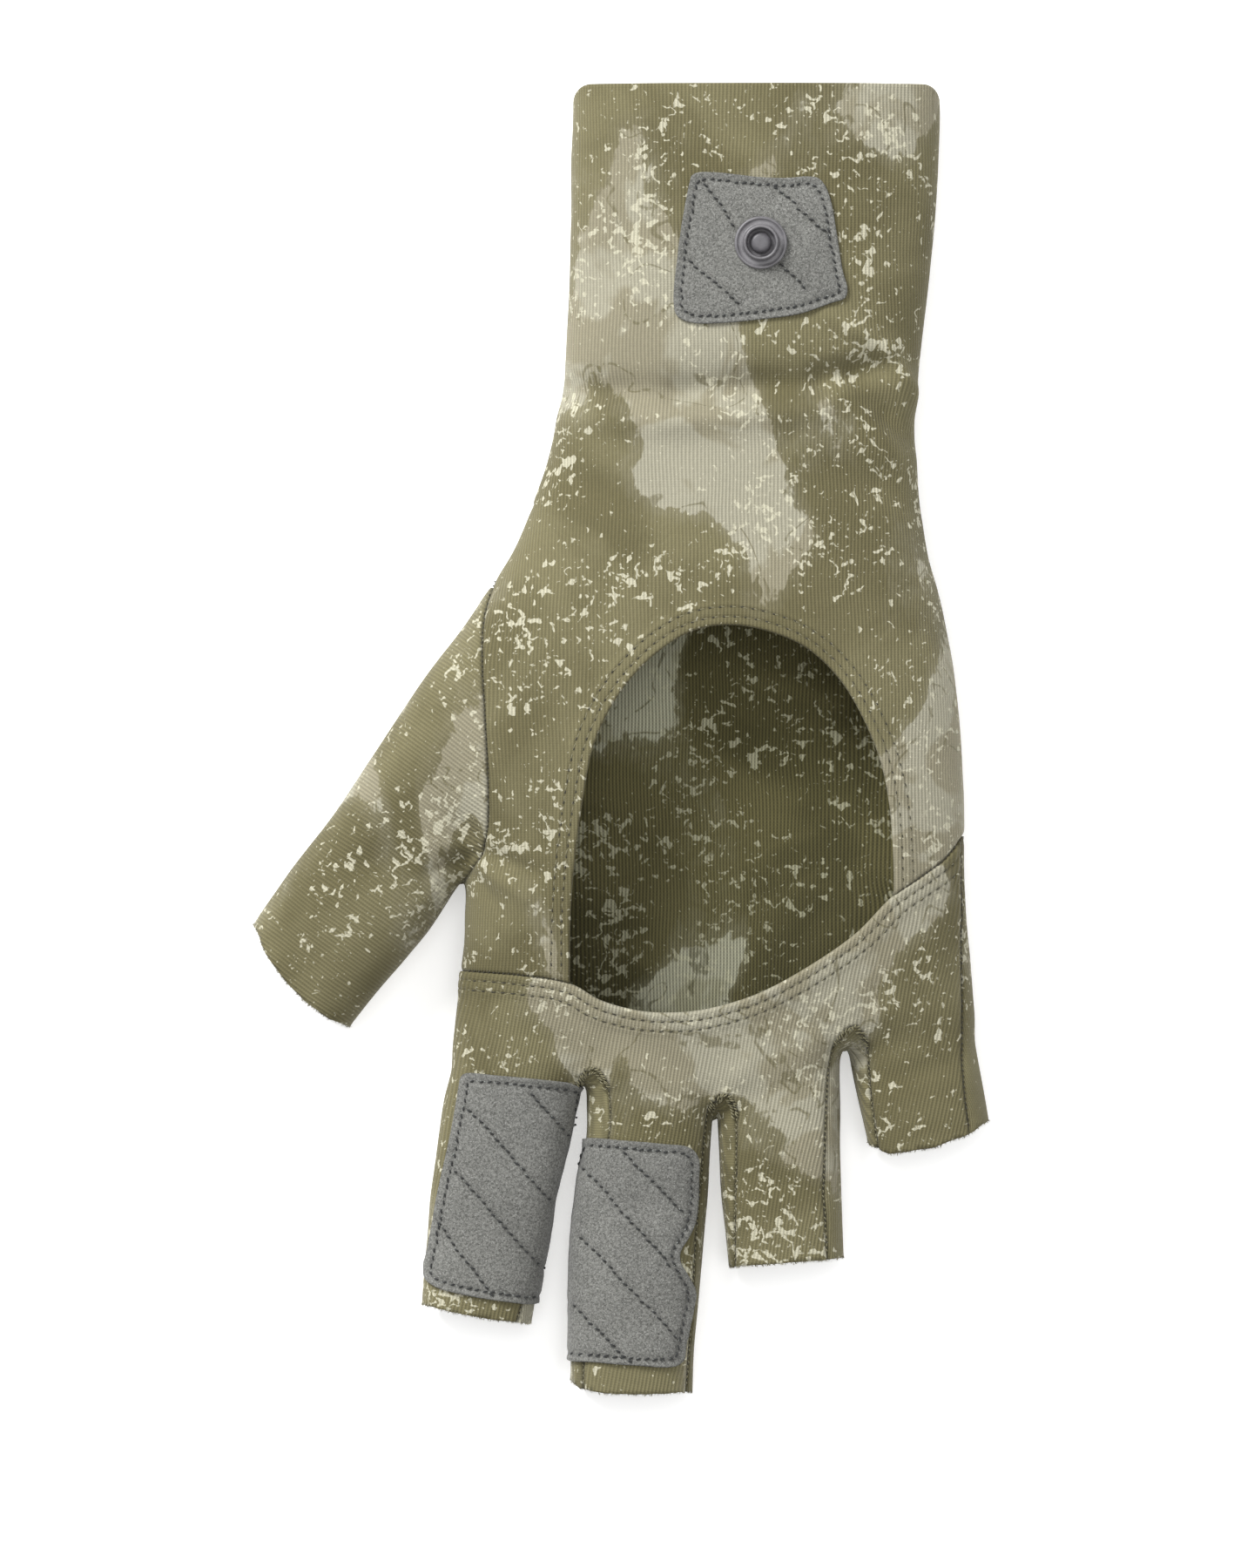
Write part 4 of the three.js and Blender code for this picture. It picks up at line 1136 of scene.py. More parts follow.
def build_patch(name, rows, quilt, materials, hole=None):
    """A suede patch on the knit: cut edge, stitched round, quilted. It wraps over the side where its outline passes it."""
    outline = loop(rows, 0.6)
    fn = inside(outline)
    side_cut = lambda q: q[:, 2] - PATCH_SIDE_Z
    p, t = BASE_P, BASE_T
    up = (fn(p) > -2.5) & (p[:, 2] > PATCH_SIDE_Z - 2.5)
    t = t[up[t].all(1)]
    used = np.unique(t)
    remap = np.full(len(p), -1)
    remap[used] = np.arange(len(used))
    p, t = quarter(p[used], remap[t])
    p, t, locked = cut(p, t, fn, 0.0, True, 0.14)
    p, t, locked = cut(p, t, side_cut, 0.0, True, 0.14, locked)
    if hole is not None:
        ring = lambda q: np.hypot(q[:, 0] - hole[0], q[:, 1] - hole[1]) - 1.5
        p, t, locked = cut(p, t, ring, 0.0, True, 0.14, locked)
    p, t, locked = largest(p, t, locked)
    for level in (0.1, 0.28, 0.6):
        p, t, locked = cut(p, t, fn, level, False, 0.06, locked)
    for level in (0.1, 0.28):
        p, t, locked = cut(p, t, side_cut, level, False, 0.06, locked)
    p[~locked] = onto_surface(p[~locked], 1, 0.2)
    n = normals(p)
    base = wrinkles(p, n)
    x = np.maximum(np.minimum(fn(p), side_cut(p) * 1.4), 0)
    at = 1.45
    closed = np.vstack([outline, outline[:1]])
    area = 0.5 * np.sum(closed[:-1, 0] * closed[1:, 1] - closed[1:, 0] * closed[:-1, 1])
    inset = offset_line(closed, at if area > 0 else -at)
    lines = [inset]
    for x0, y0, x1, y1 in quilt:
        line = resample(np.array([(x0, y0), (x1, y1)], float), 1.0)
        sway = 0.30 * value_noise(np.column_stack([line, 0 * line[:, 0]]), 4.5, 41)
        lines.append(offset_line(line, sway[:, None]))
    groove = np.zeros(len(p))
    dark = np.zeros(len(p))
    for line in lines:
        d = line_distance(p, line)
        groove = np.minimum(groove, -0.17 * np.exp(-((d / 0.42) ** 2)) - 0.12 * np.exp(-((d / 1.3) ** 2)))
        # painted shade along the quilting grooves
        dark = np.maximum(dark, np.exp(-((d / 0.36) ** 2)))
    # each quilted field swells a little, and the thread draws ripples along its line
    ripple = 0.05 * value_noise(p, 1.5, 12)
    pillow = 0.14 * value_noise(p, 5.0, 11)
    curl = 0.07 * np.exp(-((x / 1.0) ** 2)) * (1 + value_noise(p, 6.0, 13))
    f = fold_profile(x, 0.22)
    out = base + LIFT + SUEDE + groove + np.maximum(pillow, -0.08) + ripple + curl + f
    inn = base + LIFT + 0 * out
    out = np.maximum(out, inn + 0.12)
    m = len(p)
    outer = p + n * out[:, None]
    inner = p + n * inn[:, None]
    rim = rim_edges(t)
    side = np.vstack([np.column_stack([rim[:, 1], rim[:, 0], rim[:, 0] + m]), np.column_stack([rim[:, 1], rim[:, 0] + m, rim[:, 1] + m])])
    faces = [np.vstack([t, t[:, ::-1] + m, side])]
    slots = [np.zeros(len(t)), np.zeros(len(t)), np.zeros(len(side))]
    pts = [outer, inner]
    fabs = [p, p]
    # painted shade: in the quilting grooves, a shadow along the patch's cut edge, and all over its underside
    darks = [np.maximum(0.5 * dark, 0.45 * np.exp(-((x / 0.22) ** 2))), 0.6 + 0 * dark]
    count = 2 * m
    keep = lambda q: (drop(q[:, :2])[:, 2] > PATCH_SIDE_Z + 2.0) & (drop(q[:, :2])[:, 2] < 30)
    if hole is not None:
        clear = lambda q: np.hypot(q[:, 0] - hole[0], q[:, 1] - hole[1]) > 5.2
    runs = []
    for i, line in enumerate(lines):
        parts = [line]
        if i == 0 and side_reach(outline):
            parts = visible_runs(line, keep)
        elif i and hole is not None:
            parts = visible_runs(line, clear)
        for part in parts:
            # near-black stitches, partly painted shade in their holes, with short pale dashes among them as painted
            # glints
            runs.append((stitch_line(part, LIFT + SUEDE - 0.19, 1.55, 1.2, 0.20, jitter=0.08, lean=0.40), 1))
            runs.append((stitch_line(part, LIFT + SUEDE - 0.22, 1.55, 0.55, 0.10, start=0.78, jitter=0.08, lean=-0.5, share=0.55), 2))
    for st, slot in runs:
        if st is None:
            continue
        sp, sq, sc = st
        pts.append(sp)
        faces += [sq + count, sc + count]
        slots += [np.full(len(sq), slot), np.full(len(sc), slot)]
        fabs.append(sp)
        darks.append(np.zeros(len(sp)))
        count += len(sp)
    ob = new_object(name, np.vstack(pts), faces, materials, np.concatenate(slots), {"fab": np.vstack(fabs), "seam": np.concatenate(darks)})
    print(name, m, flush=True)
    return ob


def side_reach(outline):
    """True where a patch's outline passes over the side of its finger."""
    z = drop(outline)[:, 2]
    return bool((z < PATCH_SIDE_Z + 2.5).any())


def visible_runs(line, keep):
    """The stretches of a line for which keep is true."""
    line = resample(line, 0.4)
    m = keep(np.column_stack([line, np.full(len(line), 20.0)]))
    out, start = [], None
    for i, v in enumerate(m):
        if v and start is None:
            start = i
        if start is not None and (not v or i == len(m) - 1):
            if i - start > 6:
                out.append(line[start:i])
            start = None
    return out


def lathe(name, rows, centre, base_z, material, sides=72):
    """A turned piece from a profile of (radius, height) rows that closes on itself or on the axis."""
    rows = np.array(rows, float)
    pts = []
    a = 2 * np.pi * np.arange(sides) / sides
    for r, z in rows:
        pts.append(np.stack([centre[0] + r * np.cos(a), centre[1] + r * np.sin(a), np.full(sides, base_z + z)], 1))
    pts = np.vstack(pts)
    quads = []
    for k in range(len(rows) - 1):
        j = np.arange(sides)
        b = (j + 1) % sides
        quads.append(np.stack([k * sides + j, k * sides + b, (k + 1) * sides + b, (k + 1) * sides + j], 1))
    faces = [np.vstack(quads)]
    caps = []
    if rows[0][0] < 0.06:
        caps.append(np.arange(sides)[::-1])
    if rows[-1][0] < 0.06:
        caps.append((len(rows) - 1) * sides + np.arange(sides))
    if caps:
        faces.append(np.array(caps))
    else:
        j = np.arange(sides)
        b = (j + 1) % sides
        k = (len(rows) - 1) * sides
        faces.append(np.stack([k + j, k + b, b, j], 1))
    return new_object(name, pts, faces, [material], None, {"fab": pts})


# ------------------------------------------------------------------ materials
DIM = 0.74  # the studio is bright, so that the pale floor stays white; the object's own colours are lower by as much


def srgb(hex_code, k=1.0):
    v = np.array([int(hex_code[i : i + 2], 16) / 255 for i in (1, 3, 5)])
    v = np.where(v <= 0.04045, v / 12.92, ((v + 0.055) / 1.055) ** 2.4) * k * DIM
    return (*[float(c) for c in v], 1.0)


class Nodes:
    """A few short calls for building a node tree."""

    def __init__(self, name):
        self.mat = bpy.data.materials.new(name)
        self.mat.use_nodes = True
        self.tree = self.mat.node_tree
        self.tree.nodes.clear()
        self.out = self.tree.nodes.new("ShaderNodeOutputMaterial")
        self.bsdf = self.tree.nodes.new("ShaderNodeBsdfPrincipled")
        self.link(self.bsdf.outputs[0], self.out.inputs["Surface"])

    def link(self, a, b):
        self.tree.links.new(a, b)

    def feed(self, socket, value):
        if hasattr(value, "is_output"):
            self.link(value, socket)
        elif value is not None:
            socket.default_value = value

    def attribute(self, name, vector=True):
        n = self.tree.nodes.new("ShaderNodeAttribute")
        n.attribute_name = name
        return n.outputs["Vector" if vector else "Fac"]

    def math(self, op, a, b=None, c=None, clamp=False):
        n = self.tree.nodes.new("ShaderNodeMath")
        n.operation = op
        n.use_clamp = clamp
        for i, v in enumerate((a, b, c)):
            if v is not None:
                self.feed(n.inputs[i], v)
        return n.outputs[0]

    def vec(self, op, a, b=None):
        n = self.tree.nodes.new("ShaderNodeVectorMath")
        n.operation = op
        self.feed(n.inputs[0], a)
        if b is not None:
            self.feed(n.inputs[1], b)
        return n.outputs[0]

    def parts(self, v):
        n = self.tree.nodes.new("ShaderNodeSeparateXYZ")
        self.link(v, n.inputs[0])
        return n.outputs

    def join(self, x, y, z):
        n = self.tree.nodes.new("ShaderNodeCombineXYZ")
        for i, v in enumerate((x, y, z)):
            self.feed(n.inputs[i], v)
        return n.outputs[0]

    def noise(self, v, scale, detail=2.0, rough=0.5, distortion=0.0):
        n = self.tree.nodes.new("ShaderNodeTexNoise")
        self.link(v, n.inputs["Vector"])
        n.inputs["Scale"].default_value = scale
        n.inputs["Detail"].default_value = detail
        n.inputs["Roughness"].default_value = rough
        n.inputs["Distortion"].default_value = distortion
        return n.outputs["Fac"]

    def cells(self, v, scale, feature="F1", random=1.0):
        n = self.tree.nodes.new("ShaderNodeTexVoronoi")
        n.feature = feature
        self.link(v, n.inputs["Vector"])
        n.inputs["Scale"].default_value = scale
        n.inputs["Randomness"].default_value = random
        return n.outputs["Distance"]

    def step(self, v, low, high):
        n = self.tree.nodes.new("ShaderNodeMapRange")
        n.interpolation_type = "SMOOTHSTEP"
        n.inputs["From Min"].default_value = low
        n.inputs["From Max"].default_value = high
        self.feed(n.inputs["Value"], v)
        return n.outputs["Result"]

    def mix(self, fac, a, b, mode="MIX"):
        n = self.tree.nodes.new("ShaderNodeMix")
        n.data_type = "RGBA"
        n.blend_type = mode
        self.feed(n.inputs["Factor"], fac)
        self.feed(n.inputs[6], a)
        self.feed(n.inputs[7], b)
        return n.outputs[2]

    def bump(self, height, strength, distance, normal=None):
        n = self.tree.nodes.new("ShaderNodeBump")
        n.inputs["Strength"].default_value = strength
        n.inputs["Distance"].default_value = distance
        self.link(height, n.inputs["Height"])
        if normal is not None:
            self.link(normal, n.inputs["Normal"])
        return n.outputs["Normal"]


def knit_material(name, tones, inner=False, flecks=1.0, seed=(0.0, 0.0, 0.0)):
    """Printed ribbed knit. tones: base, shade, pale, pale_dark, cream."""
    m = Nodes(name)
    fab = m.attribute("fab")
    place = m.vec("ADD", m.attribute("place"), seed)
    u, v, _ = m.parts(fab)
    # print: big torn blotches on a quiet ground
    torn = m.noise(m.vec("MULTIPLY", place, (1.0, 0.5, 1.0)), 0.42, 4.0, 0.6, 0.6)
    big = m.noise(m.vec("MULTIPLY", place, (1.0, 0.66, 1.0)), 0.026, 1.6, 0.5, 0.9)
    big = m.math("MULTIPLY_ADD", m.math("SUBTRACT", torn, 0.5), 0.11, big)
    pale = m.step(big, 0.580, 0.592)
    soft = m.step(big, 0.52, 0.595)
    tint = m.noise(m.vec("ADD", place, (11.0, 157.0, 71.0)), 0.06, 3.0, 0.55, 0.5)
    ground = m.noise(m.vec("ADD", place, (310.0, 57.0, 11.0)), 0.03, 3.0, 0.5, 0.8)
    base = m.mix(m.step(ground, 0.40, 0.62), srgb(tones["base"]), srgb(tones["shade"]))
    paler = m.mix(m.step(tint, 0.46, 0.54), srgb(tones["pale"]), srgb(tones["pale_dark"]))
    colour = m.mix(m.math("MULTIPLY", soft, 0.22), base, paler)
    colour = m.mix(pale, colour, paler)
    # thin curved strokes of the ground colour inside the pale parts
    wave = m.noise(m.vec("ADD", place, (71.0, 17.0, 41.0)), 0.05, 1.5, 0.5, 1.4)
    stroke = m.math("SUBTRACT", 1.0, m.step(m.math("ABSOLUTE", m.math("SUBTRACT", wave, 0.5)), 0.005, 0.016))
    stroke = m.math("MULTIPLY", stroke, m.step(torn, 0.44, 0.52))
    colour = m.mix(m.math("MULTIPLY", m.math("MULTIPLY", stroke, pale), 0.6), colour, srgb(tones["shade"]))
    # cream flecks: crooked splashes and crumbs, in drifts
    drift = m.math("SUBTRACT", m.noise(m.vec("ADD", place, (5.0, 91.0, 23.0)), 0.05, 2.0, 0.6, 0.5), 0.5)
    warp = m.vec("ADD", place, m.vec("MULTIPLY", m.join(m.noise(place, 0.55, 2.0), m.noise(m.vec("ADD", place, (50.0, 0.0, 0.0)), 0.55, 2.0), 0.0), (2.4, 2.4, 0.0)))
    run = m.noise(warp, 0.21, 1.5, 0.5, 0.3)
    line = m.math("SUBTRACT", 1.0, m.step(m.math("ABSOLUTE", m.math("SUBTRACT", run, 0.5)), 0.020, 0.036))
    gate = m.step(m.math("MULTIPLY_ADD", drift, 0.75, m.noise(m.vec("ADD", place, (9.0, 3.0, 7.0)), 0.40, 2.0, 0.6, 0.4)), 0.585, 0.62)
    crumb = m.noise(m.vec("ADD", warp, (33.0, 13.0, 3.0)), 0.52, 1.0, 0.5, 0.4)
    crumb = m.step(m.math("MULTIPLY_ADD", drift, 0.42, crumb), 0.672, 0.700)
    dust = m.noise(m.vec("ADD", place, (3.0, 53.0, 93.0)), 1.15, 1.0, 0.5, 0.3)
    dust = m.step(m.math("MULTIPLY_ADD", drift, 0.22, dust), 0.705, 0.735)
    fleck = m.math("MAXIMUM", m.math("MULTIPLY", line, gate), m.math("MAXIMUM", crumb, m.math("MULTIPLY", dust, 0.75)))
    colour = m.mix(m.math("MULTIPLY", fleck, 0.86 * flecks), colour, srgb(tones["cream"]))
    # the knit itself
    pitch = 0.74 if inner else 0.72
    sway = m.math("MULTIPLY", m.math("SUBTRACT", m.noise(fab, 0.05, 1.0), 0.5), 1.6)
    uu = m.math("ADD", u, sway)
    rib = m.math("SINE", m.math("MULTIPLY", uu, 2 * math.pi / pitch))
    if inner:
        rowp = m.math("SINE", m.math("MULTIPLY", v, 2 * math.pi / 0.62))
        knit = m.math("MULTIPLY_ADD", m.math("MULTIPLY", rib, 0.6), m.math("MULTIPLY_ADD", rowp, 0.5, 0.5), m.math("MULTIPLY", rib, 0.5))
    else:
        half = m.math("ABSOLUTE", m.math("SINE", m.math("MULTIPLY", uu, math.pi / pitch)))
        rowp = m.math("SINE", m.math("ADD", m.math("MULTIPLY", v, 2 * math.pi / 0.48), m.math("MULTIPLY", half, 2.6)))
        knit = m.math("MULTIPLY_ADD", rowp, 0.3, rib)
    # painted shade and light: the knit's grooves are darker and its ridges lighter in colour, as well as bumped
    light = m.math("MULTIPLY_ADD", knit, 0.46 if inner else 0.155, 1.0)
    mottle = m.math("MULTIPLY_ADD", m.math("SUBTRACT", m.noise(fab, 1.1, 3.0, 0.75), 0.5), 0.30, 1.0)
    light = m.math("MULTIPLY", light, mottle)
    if inner:
        # the palm's opening lets more light in at its upper end
        light = m.math("MULTIPLY", light, m.math("MULTIPLY_ADD", m.step(v, -40.0, 20.0), 0.42, 0.92))
    else:
        # painted shade: the knit is darkened in the grooves of its seams, hem rows and folds, from the 'seam' attribute
        painted_groove_shade = m.math("MULTIPLY_ADD", m.attribute("seam", False), -0.55, 1.0)
        light = m.math("MULTIPLY", light, painted_groove_shade)
    colour = m.mix(1.0, colour, m.join(light, light, light), "MULTIPLY")
    m.link(colour, m.bsdf.inputs["Base Color"])
    fuzz = m.noise(fab, 2.4, 3.0, 0.7)
    n1 = m.bump(knit, 0.6, 0.00010)
    n2 = m.bump(fuzz, 0.25, 0.00012, n1)
    m.link(n2, m.bsdf.inputs["Normal"])
    m.bsdf.inputs["Roughness"].default_value = 0.86
    m.bsdf.inputs["Specular IOR Level"].default_value = 0.25
    m.bsdf.inputs["Sheen Weight"].default_value = 0.12
    m.bsdf.inputs["Sheen Roughness"].default_value = 0.45
    m.bsdf.inputs["Sheen Tint"].default_value = (0.9, 0.88, 0.78, 1)
    return m.mat


def suede_material(name):
    m = Nodes(name)
    fab = m.attribute("fab")
    a = m.noise(fab, 2.1, 3.0, 0.8, 0.2)
    b = m.noise(m.vec("ADD", fab, (7.0, 31.0, 5.0)), 4.2, 2.0, 0.8, 0.0)
    c = m.noise(fab, 0.10, 2.0, 0.5, 0.3)
    speck = m.step(m.noise(m.vec("ADD", fab, (40.0, 3.0, 9.0)), 3.6, 1.0, 0.5), 0.60, 0.68)
    pit = m.step(m.noise(m.vec("ADD", fab, (4.0, 63.0, 19.0)), 3.0, 1.0, 0.5), 0.62, 0.70)
    colour = m.mix(m.step(a, 0.36, 0.64), srgb("#5d5d59"), srgb("#92928d"))
    colour = m.mix(m.math("MULTIPLY", m.step(b, 0.38, 0.62), 0.40), colour, srgb("#767672"))
    colour = m.mix(m.math("MULTIPLY", speck, 0.55), colour, srgb("#b0b0ac"))
    colour = m.mix(m.math("MULTIPLY", pit, 0.55), colour, srgb("#3c3c39"))
    light = m.math("MULTIPLY_ADD", m.math("SUBTRACT", c, 0.5), 0.30, 1.0)
    # painted shade: the suede is darker in its quilting grooves, along its cut edge and underneath
    light = m.math("MULTIPLY", light, m.math("MULTIPLY_ADD", m.attribute("seam", False), -0.42, 1.0))
    colour = m.mix(1.0, colour, m.join(light, light, light), "MULTIPLY")
    m.link(colour, m.bsdf.inputs["Base Color"])
    h = m.math("MULTIPLY_ADD", a, 0.6, m.math("MULTIPLY", b, 0.5))
    m.link(m.bump(h, 0.8, 0.00018), m.bsdf.inputs["Normal"])
    m.bsdf.inputs["Roughness"].default_value = 0.95
    m.bsdf.inputs["Specular IOR Level"].default_value = 0.15
    m.bsdf.inputs["Sheen Weight"].default_value = 0.15
    m.bsdf.inputs["Sheen Roughness"].default_value = 0.5
    return m.mat


def thread_material(name, colour, light):
    m = Nodes(name)
    fab = m.attribute("fab")
    x, y, z = m.parts(fab)
    twist = m.math("SINE", m.math("MULTIPLY", m.math("ADD", m.math("ADD", x, y), m.math("MULTIPLY", z, 1.4)), 2 * math.pi / 0.32))
    # painted highlight: the thread is paler on the twist's ridges and in spots
    tone = m.mix(m.math("MULTIPLY_ADD", twist, 0.5, 0.5), srgb(colour), srgb(light))
    fleck = m.noise(fab, 1.3, 2.0)
    tone = m.mix(m.math("MULTIPLY", m.step(fleck, 0.4, 0.6), 0.35), tone, srgb(light))
    m.link(tone, m.bsdf.inputs["Base Color"])
    m.link(m.bump(twist, 0.4, 0.00006), m.bsdf.inputs["Normal"])
    m.bsdf.inputs["Roughness"].default_value = 0.7
    m.bsdf.inputs["Sheen Weight"].default_value = 0.15
    return m.mat


def stud_material(name, colour, light):
    m = Nodes(name)
    fab = m.attribute("fab")
    a = m.noise(fab, 0.35, 3.0, 0.6)
    b = m.noise(fab, 3.0, 3.0, 0.7)
    tone = m.mix(m.step(a, 0.35, 0.65), srgb(colour), srgb(light))
    m.link(tone, m.bsdf.inputs["Base Color"])
    m.link(m.math("MULTIPLY_ADD", b, 0.22, 0.30), m.bsdf.inputs["Roughness"])
    m.link(m.bump(b, 0.12, 0.00005), m.bsdf.inputs["Normal"])
    m.bsdf.inputs["Specular IOR Level"].default_value = 0.55
    m.bsdf.inputs["Subsurface Weight"].default_value = 0.12
    m.bsdf.inputs["Subsurface Radius"].default_value = (0.001, 0.0009, 0.001)
    return m.mat


OUTER_TONES = {"base": "#7c7657", "shade": "#6a6446", "pale": "#a9a591", "pale_dark": "#97917a", "cream": "#cdc9b1"}
INNER_TONES = {"base": "#605b3a", "shade": "#4e4a2c", "pale": "#a1a089", "pale_dark": "#929076", "cream": "#b0ae92"}
KNIT = {k: knit_material("knit_" + k, OUTER_TONES) for k in ("palm", "finger", "thumb", "back")}
KNIT_IN = knit_material("knit_inside", INNER_TONES, True, 0.75, (35.0, 20.0, 0.0))
THREAD = thread_material("thread_olive", "#6a6548", "#97916f")
# dark thread, made near black as painted shade for the needle holes it sinks into
THREAD_DARK = thread_material("thread_dark_grey_and_hole_shade", "#101110", "#2e302f")
SUEDE_MAT = suede_material("suede_grey")
# short pale dashes between the patch stitches: painted glints of the thread
THREAD_GLINT = thread_material("thread_glint_painted", "#7c807c", "#a8aba6")
# near-black dashes set in stitch holes and seam grooves: painted shade
PIT_SHADE = thread_material("thread_shadow", "#211e0f", "#3a361f")
STUD_MAT = stud_material("stud_plastic", "#6a686b", "#7c7a7d")
RIVET_MAT = stud_material("rivet_plastic", "#545256", "#636165")

# ------------------------------------------------------------------ the pieces
print("panels", flush=True)


def on_skin(area_fns):
    return lambda q: np.all([fn(q) > 0.6 for fn in area_fns], 0)


arch_rows = []
for at in HEM_ROWS:
    line = offset_line(arch_line, at)
    line = trim(line, on_skin([outside(below_hem)]))
    # olive stitches with near-black dashes between them: painted shade in the needle holes
    arch_rows.append((stitch_line(line, 0.06, 2.1, 1.5, 0.11, jitter=0.04, slant=0.05), 2))
    arch_rows.append((stitch_line(line, 0.12, 2.1, 0.8, 0.125, start=1.05, jitter=0.05, slant=0.08), 3))
hem_rows = []
for at in HEM_ROWS:
    line = offset_line(hem_line, -at)
    line = trim(line, lambda q: (q[:, 0] > -31.5) & (q[:, 0] < 65.0))
    # olive stitches with near-black dashes between them: painted shade in the needle holes
    hem_rows.append((stitch_line(line, 0.06, 1.9, 1.1, 0.11, jitter=0.04, slant=0.05), 2))
    hem_rows.append((stitch_line(line, 0.11, 1.9, 1.2, 0.115, start=0.95, jitter=0.05, lean=0.10), 3))
# where the finger panel's fold lies over the palm panel, it is sewn down; the ladder of near-black dashes there is
# painted shade under the fold's edge
lap = offset_line(hem_line, 0.22)
for part in visible_runs(lap, lambda q: ((q[:, 0] < -11.5) & (q[:, 0] > -31.0)) | ((q[:, 0] > 53.5) & (q[:, 0] < 65.0))):
    hem_rows.append((stitch_line(part, -0.12, 0.95, 0.62, 0.12, lean=0.9), 3))
# near-black dashes down in the thumb seam's and outer seam's grooves: painted shade
thumb_rows = [(stitch_line(trim(offset_line(thumb_line, 0.05), lambda q: (q[:, 1] < 37.0) & (q[:, 1] > -24.0)), -0.26, 0.95, 0.62, 0.12, slant=0.35, lean=0.3), 3)]
outer_rows = [(stitch_line(trim(offset_line(outer_line, -0.08), lambda q: (q[:, 1] < -22.0) & (q[:, 1] > -76.0)), -0.26, 1.05, 0.7, 0.12, slant=0.35), 3)]
gusset_rows = []
for name, area in gussets.items():
    ends = [inside(end_areas[k]) for k in ("index", "middle", "ring", "little")]
    line = trim(offset_line(area, 0.1), lambda q: np.max([fn(q) for fn in ends], 0) < -0.8)
    bend = area[area[:, 1].argmax()]
    # olive overlock stitches with near-black dashes among them: painted shade between the stitches
    for d, share in ((0.3, 1.0), (-0.5, 0.8)):
        for part in visible_runs(offset_line(area, d), lambda q: np.hypot(q[:, 0] - bend[0], q[:, 1] - bend[1]) < 5.0):
            gusset_rows.append((stitch_line(part, 0.30, 0.62, 1.15, 0.15, jitter=0.10, lean=1.1, share=share), 2))
            gusset_rows.append((stitch_line(part, 0.24, 0.62, 0.8, 0.10, start=0.3, jitter=0.12, lean=0.9, share=0.6), 3))
    gusset_rows.append((stitch_line(line, -0.22, 1.05, 0.75, 0.12, slant=0.3, lean=0.3), 2))
    gusset_rows.append((stitch_line(line, -0.24, 1.05, 0.5, 0.11, start=0.5, slant=0.3, lean=-0.4, share=0.7), 3))

pieces = {
    "palm_panel": build_panel("palm_panel", [KNIT["palm"], KNIT_IN, THREAD, PIT_SHADE], arch_rows + thumb_rows),
    "finger_panel": build_panel("finger_panel", [KNIT["finger"], KNIT_IN, THREAD, PIT_SHADE], hem_rows + outer_rows + gusset_rows),
    "thumb_panel": build_panel("thumb_panel", [KNIT["thumb"], KNIT_IN]),
    "back_panel": build_panel("back_panel", [KNIT["back"], KNIT_IN]),
}
for name in gussets:
    pieces[name] = build_panel(name, [KNIT["back"], KNIT_IN])
pieces["index_patch"] = build_patch("index_patch", INDEX_PATCH, INDEX_QUILT, [SUEDE_MAT, THREAD_DARK, THREAD_GLINT])
pieces["middle_patch"] = build_patch("middle_patch", MIDDLE_PATCH, MIDDLE_QUILT, [SUEDE_MAT, THREAD_DARK, THREAD_GLINT])
pieces["cuff_patch"] = build_patch("cuff_patch", CUFF_PATCH, CUFF_QUILT, [SUEDE_MAT, THREAD_DARK, THREAD_GLINT], STUD)

seat = 20.95 + LIFT + SUEDE + 0.1
stud_rows = [(1.62, 0.0), (4.95, 0.0), (5.1, 0.10), (5.14, 0.5), (5.08, 0.76), (4.95, 0.9), (4.78, 0.94), (4.62, 0.86), (4.5, 0.72), (4.36, 0.64), (3.78, 0.6), (3.6, 0.68), (3.48, 0.9), (3.42, 1.4), (3.4, 2.1), (3.34, 2.36), (3.2, 2.5), (3.02, 2.5), (2.9, 2.4), (2.84, 2.15), (2.8, 1.6), (2.76, 1.0), (2.7, 0.5), (2.5, 0.4), (1.62, 0.4)]
rivet_rows = [(0.02, -3.9), (4.5, -3.9), (4.6, -3.8), (4.6, -3.2), (4.5, -3.1), (1.3, -3.1), (1.2, -3.0), (1.2, 0.45), (1.8, 0.5), (1.94, 0.6), (2.02, 0.9), (1.98, 1.25), (1.78, 1.5), (1.4, 1.66), (0.95, 1.7), (0.5, 1.66), (0.02, 1.64)]
pieces["snap_stud"] = lathe("snap_stud", stud_rows, STUD, seat, STUD_MAT)
pieces["snap_rivet"] = lathe("snap_rivet", rivet_rows, STUD, seat, RIVET_MAT)

for name, ob in pieces.items():
    ob.name = "look_" + name
    ob.data.name = "look_" + name
    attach(ob, "root")
    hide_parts(name)

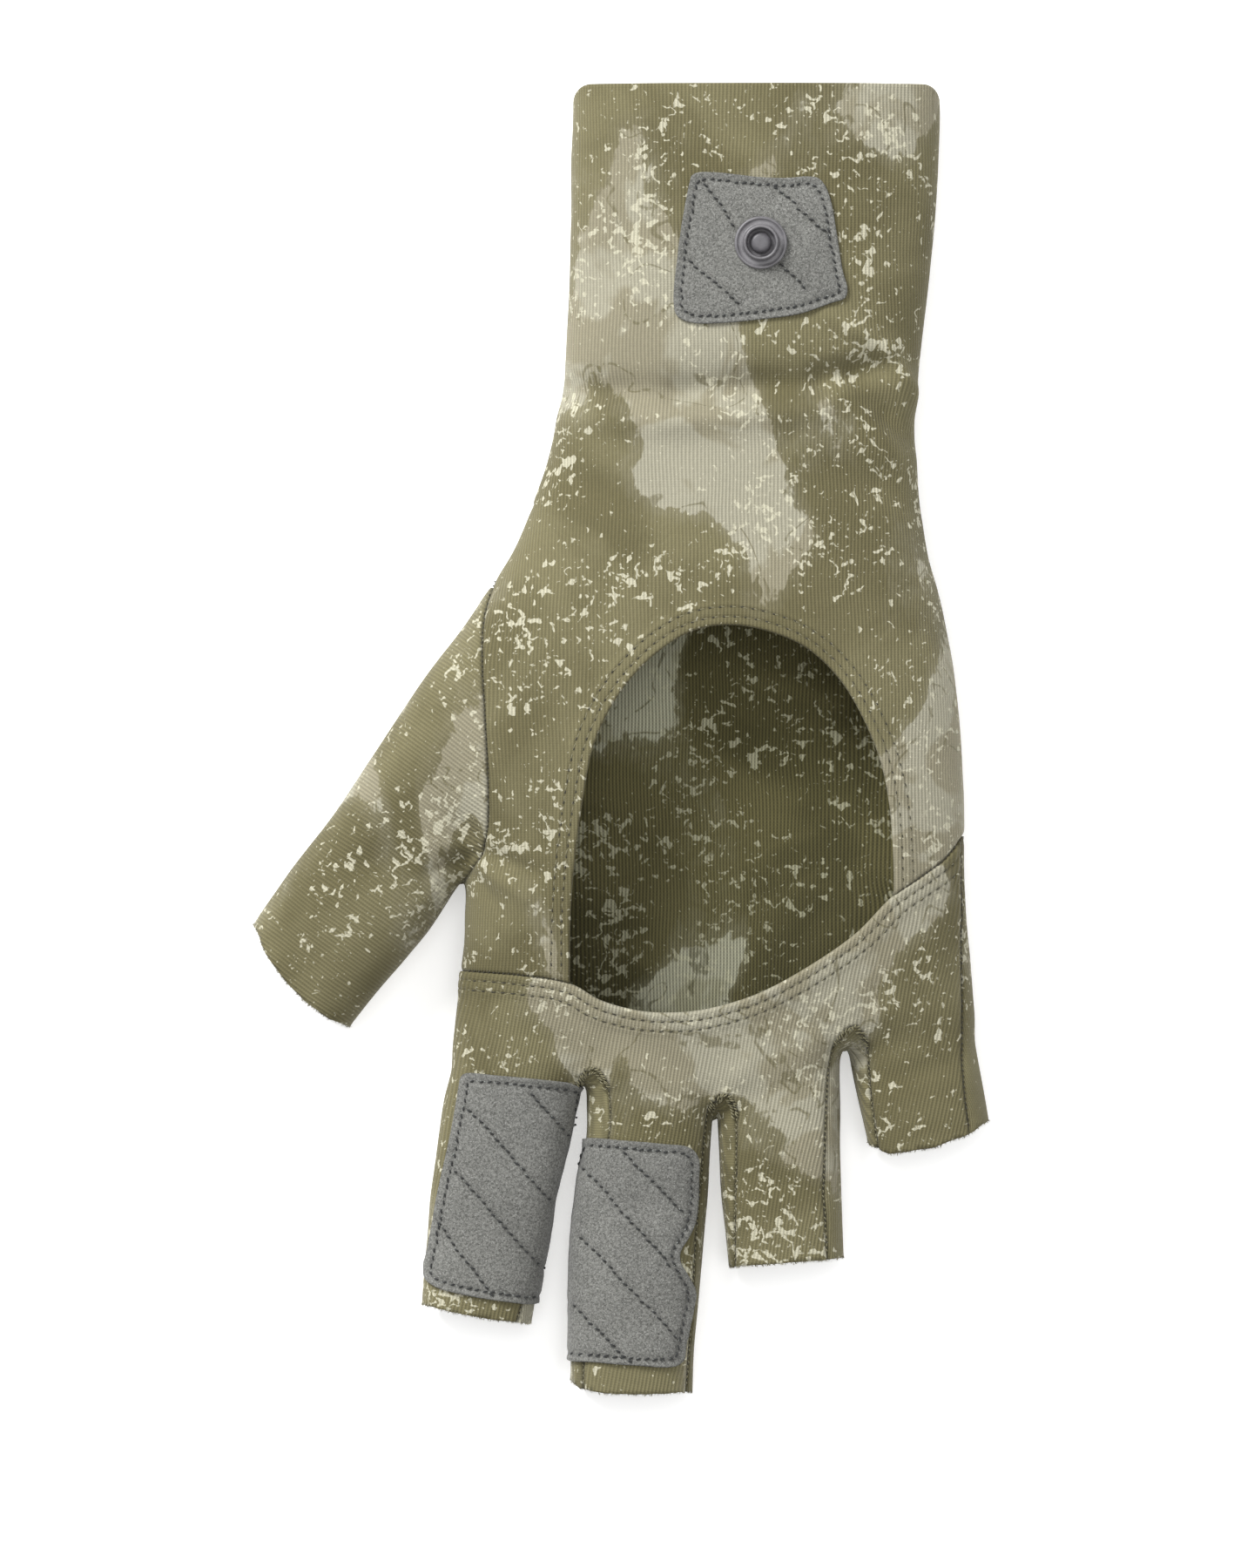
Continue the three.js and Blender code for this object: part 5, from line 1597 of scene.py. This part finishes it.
# ------------------------------------------------------------------ floor, light, camera
floor_mesh = bpy.data.meshes.new("floor")
floor_mesh.from_pydata([(-3, -3, 0), (3, -3, 0), (3, 3, 0), (-3, 3, 0)], [], [(0, 1, 2, 3)])
floor = bpy.data.objects.new("floor", floor_mesh)
bpy.context.scene.collection.objects.link(floor)
fm = Nodes("floor_pale")
grain = fm.noise(fm.tree.nodes.new("ShaderNodeTexCoord").outputs["Object"], 60.0, 2.0)
fm.link(fm.mix(grain, (0.90, 0.90, 0.90, 1), (0.93, 0.93, 0.93, 1)), fm.bsdf.inputs["Base Color"])
fm.bsdf.inputs["Roughness"].default_value = 0.9
fm.bsdf.inputs["Emission Color"].default_value = (1, 1, 1, 1)
fm.bsdf.inputs["Emission Strength"].default_value = 0.42  # a light table
floor_mesh.materials.append(fm.mat)
floor.location.z = -0.0004

scene = bpy.context.scene
scene.view_settings.view_transform = "Standard"
scene.view_settings.look = "None"
world = bpy.data.worlds.new("studio")
world.use_nodes = True
world.node_tree.nodes["Background"].inputs[0].default_value = (1, 1, 1, 1)
world.node_tree.nodes["Background"].inputs[1].default_value = 0.52
scene.world = world


def area_light(name, where, target, size, power, colour=(1, 1, 1)):
    data = bpy.data.lights.new(name, "AREA")
    data.shape = "DISK"
    data.size = size
    data.energy = power
    data.color = colour
    ob = bpy.data.objects.new(name, data)
    ob.location = where
    from mathutils import Vector

    ob.rotation_euler = (Vector(target) - Vector(where)).to_track_quat("-Z", "Y").to_euler()
    scene.collection.objects.link(ob)
    return ob


area_light("key", (-0.95, 1.3, 1.15), (0, 0, 0), 0.9, 53)
area_light("fill", (1.2, -0.6, 1.4), (0, 0, 0), 1.6, 4)
area_light("overhead", (0.1, 0.2, 1.9), (0, 0, 0), 1.2, 11)

camera_data = bpy.data.cameras.new("camera")
camera = bpy.data.objects.new("camera", camera_data)
scene.collection.objects.link(camera)
DISTANCE = 2.4
camera.location = (0.001265, -0.00865, 0.010 + DISTANCE)
camera.rotation_euler = (0, 0, 0)
camera_data.sensor_width = 36.0
camera_data.lens = 36.0 * DISTANCE / 0.306
camera_data.clip_start = 0.05
camera_data.clip_end = 20
scene.camera = camera
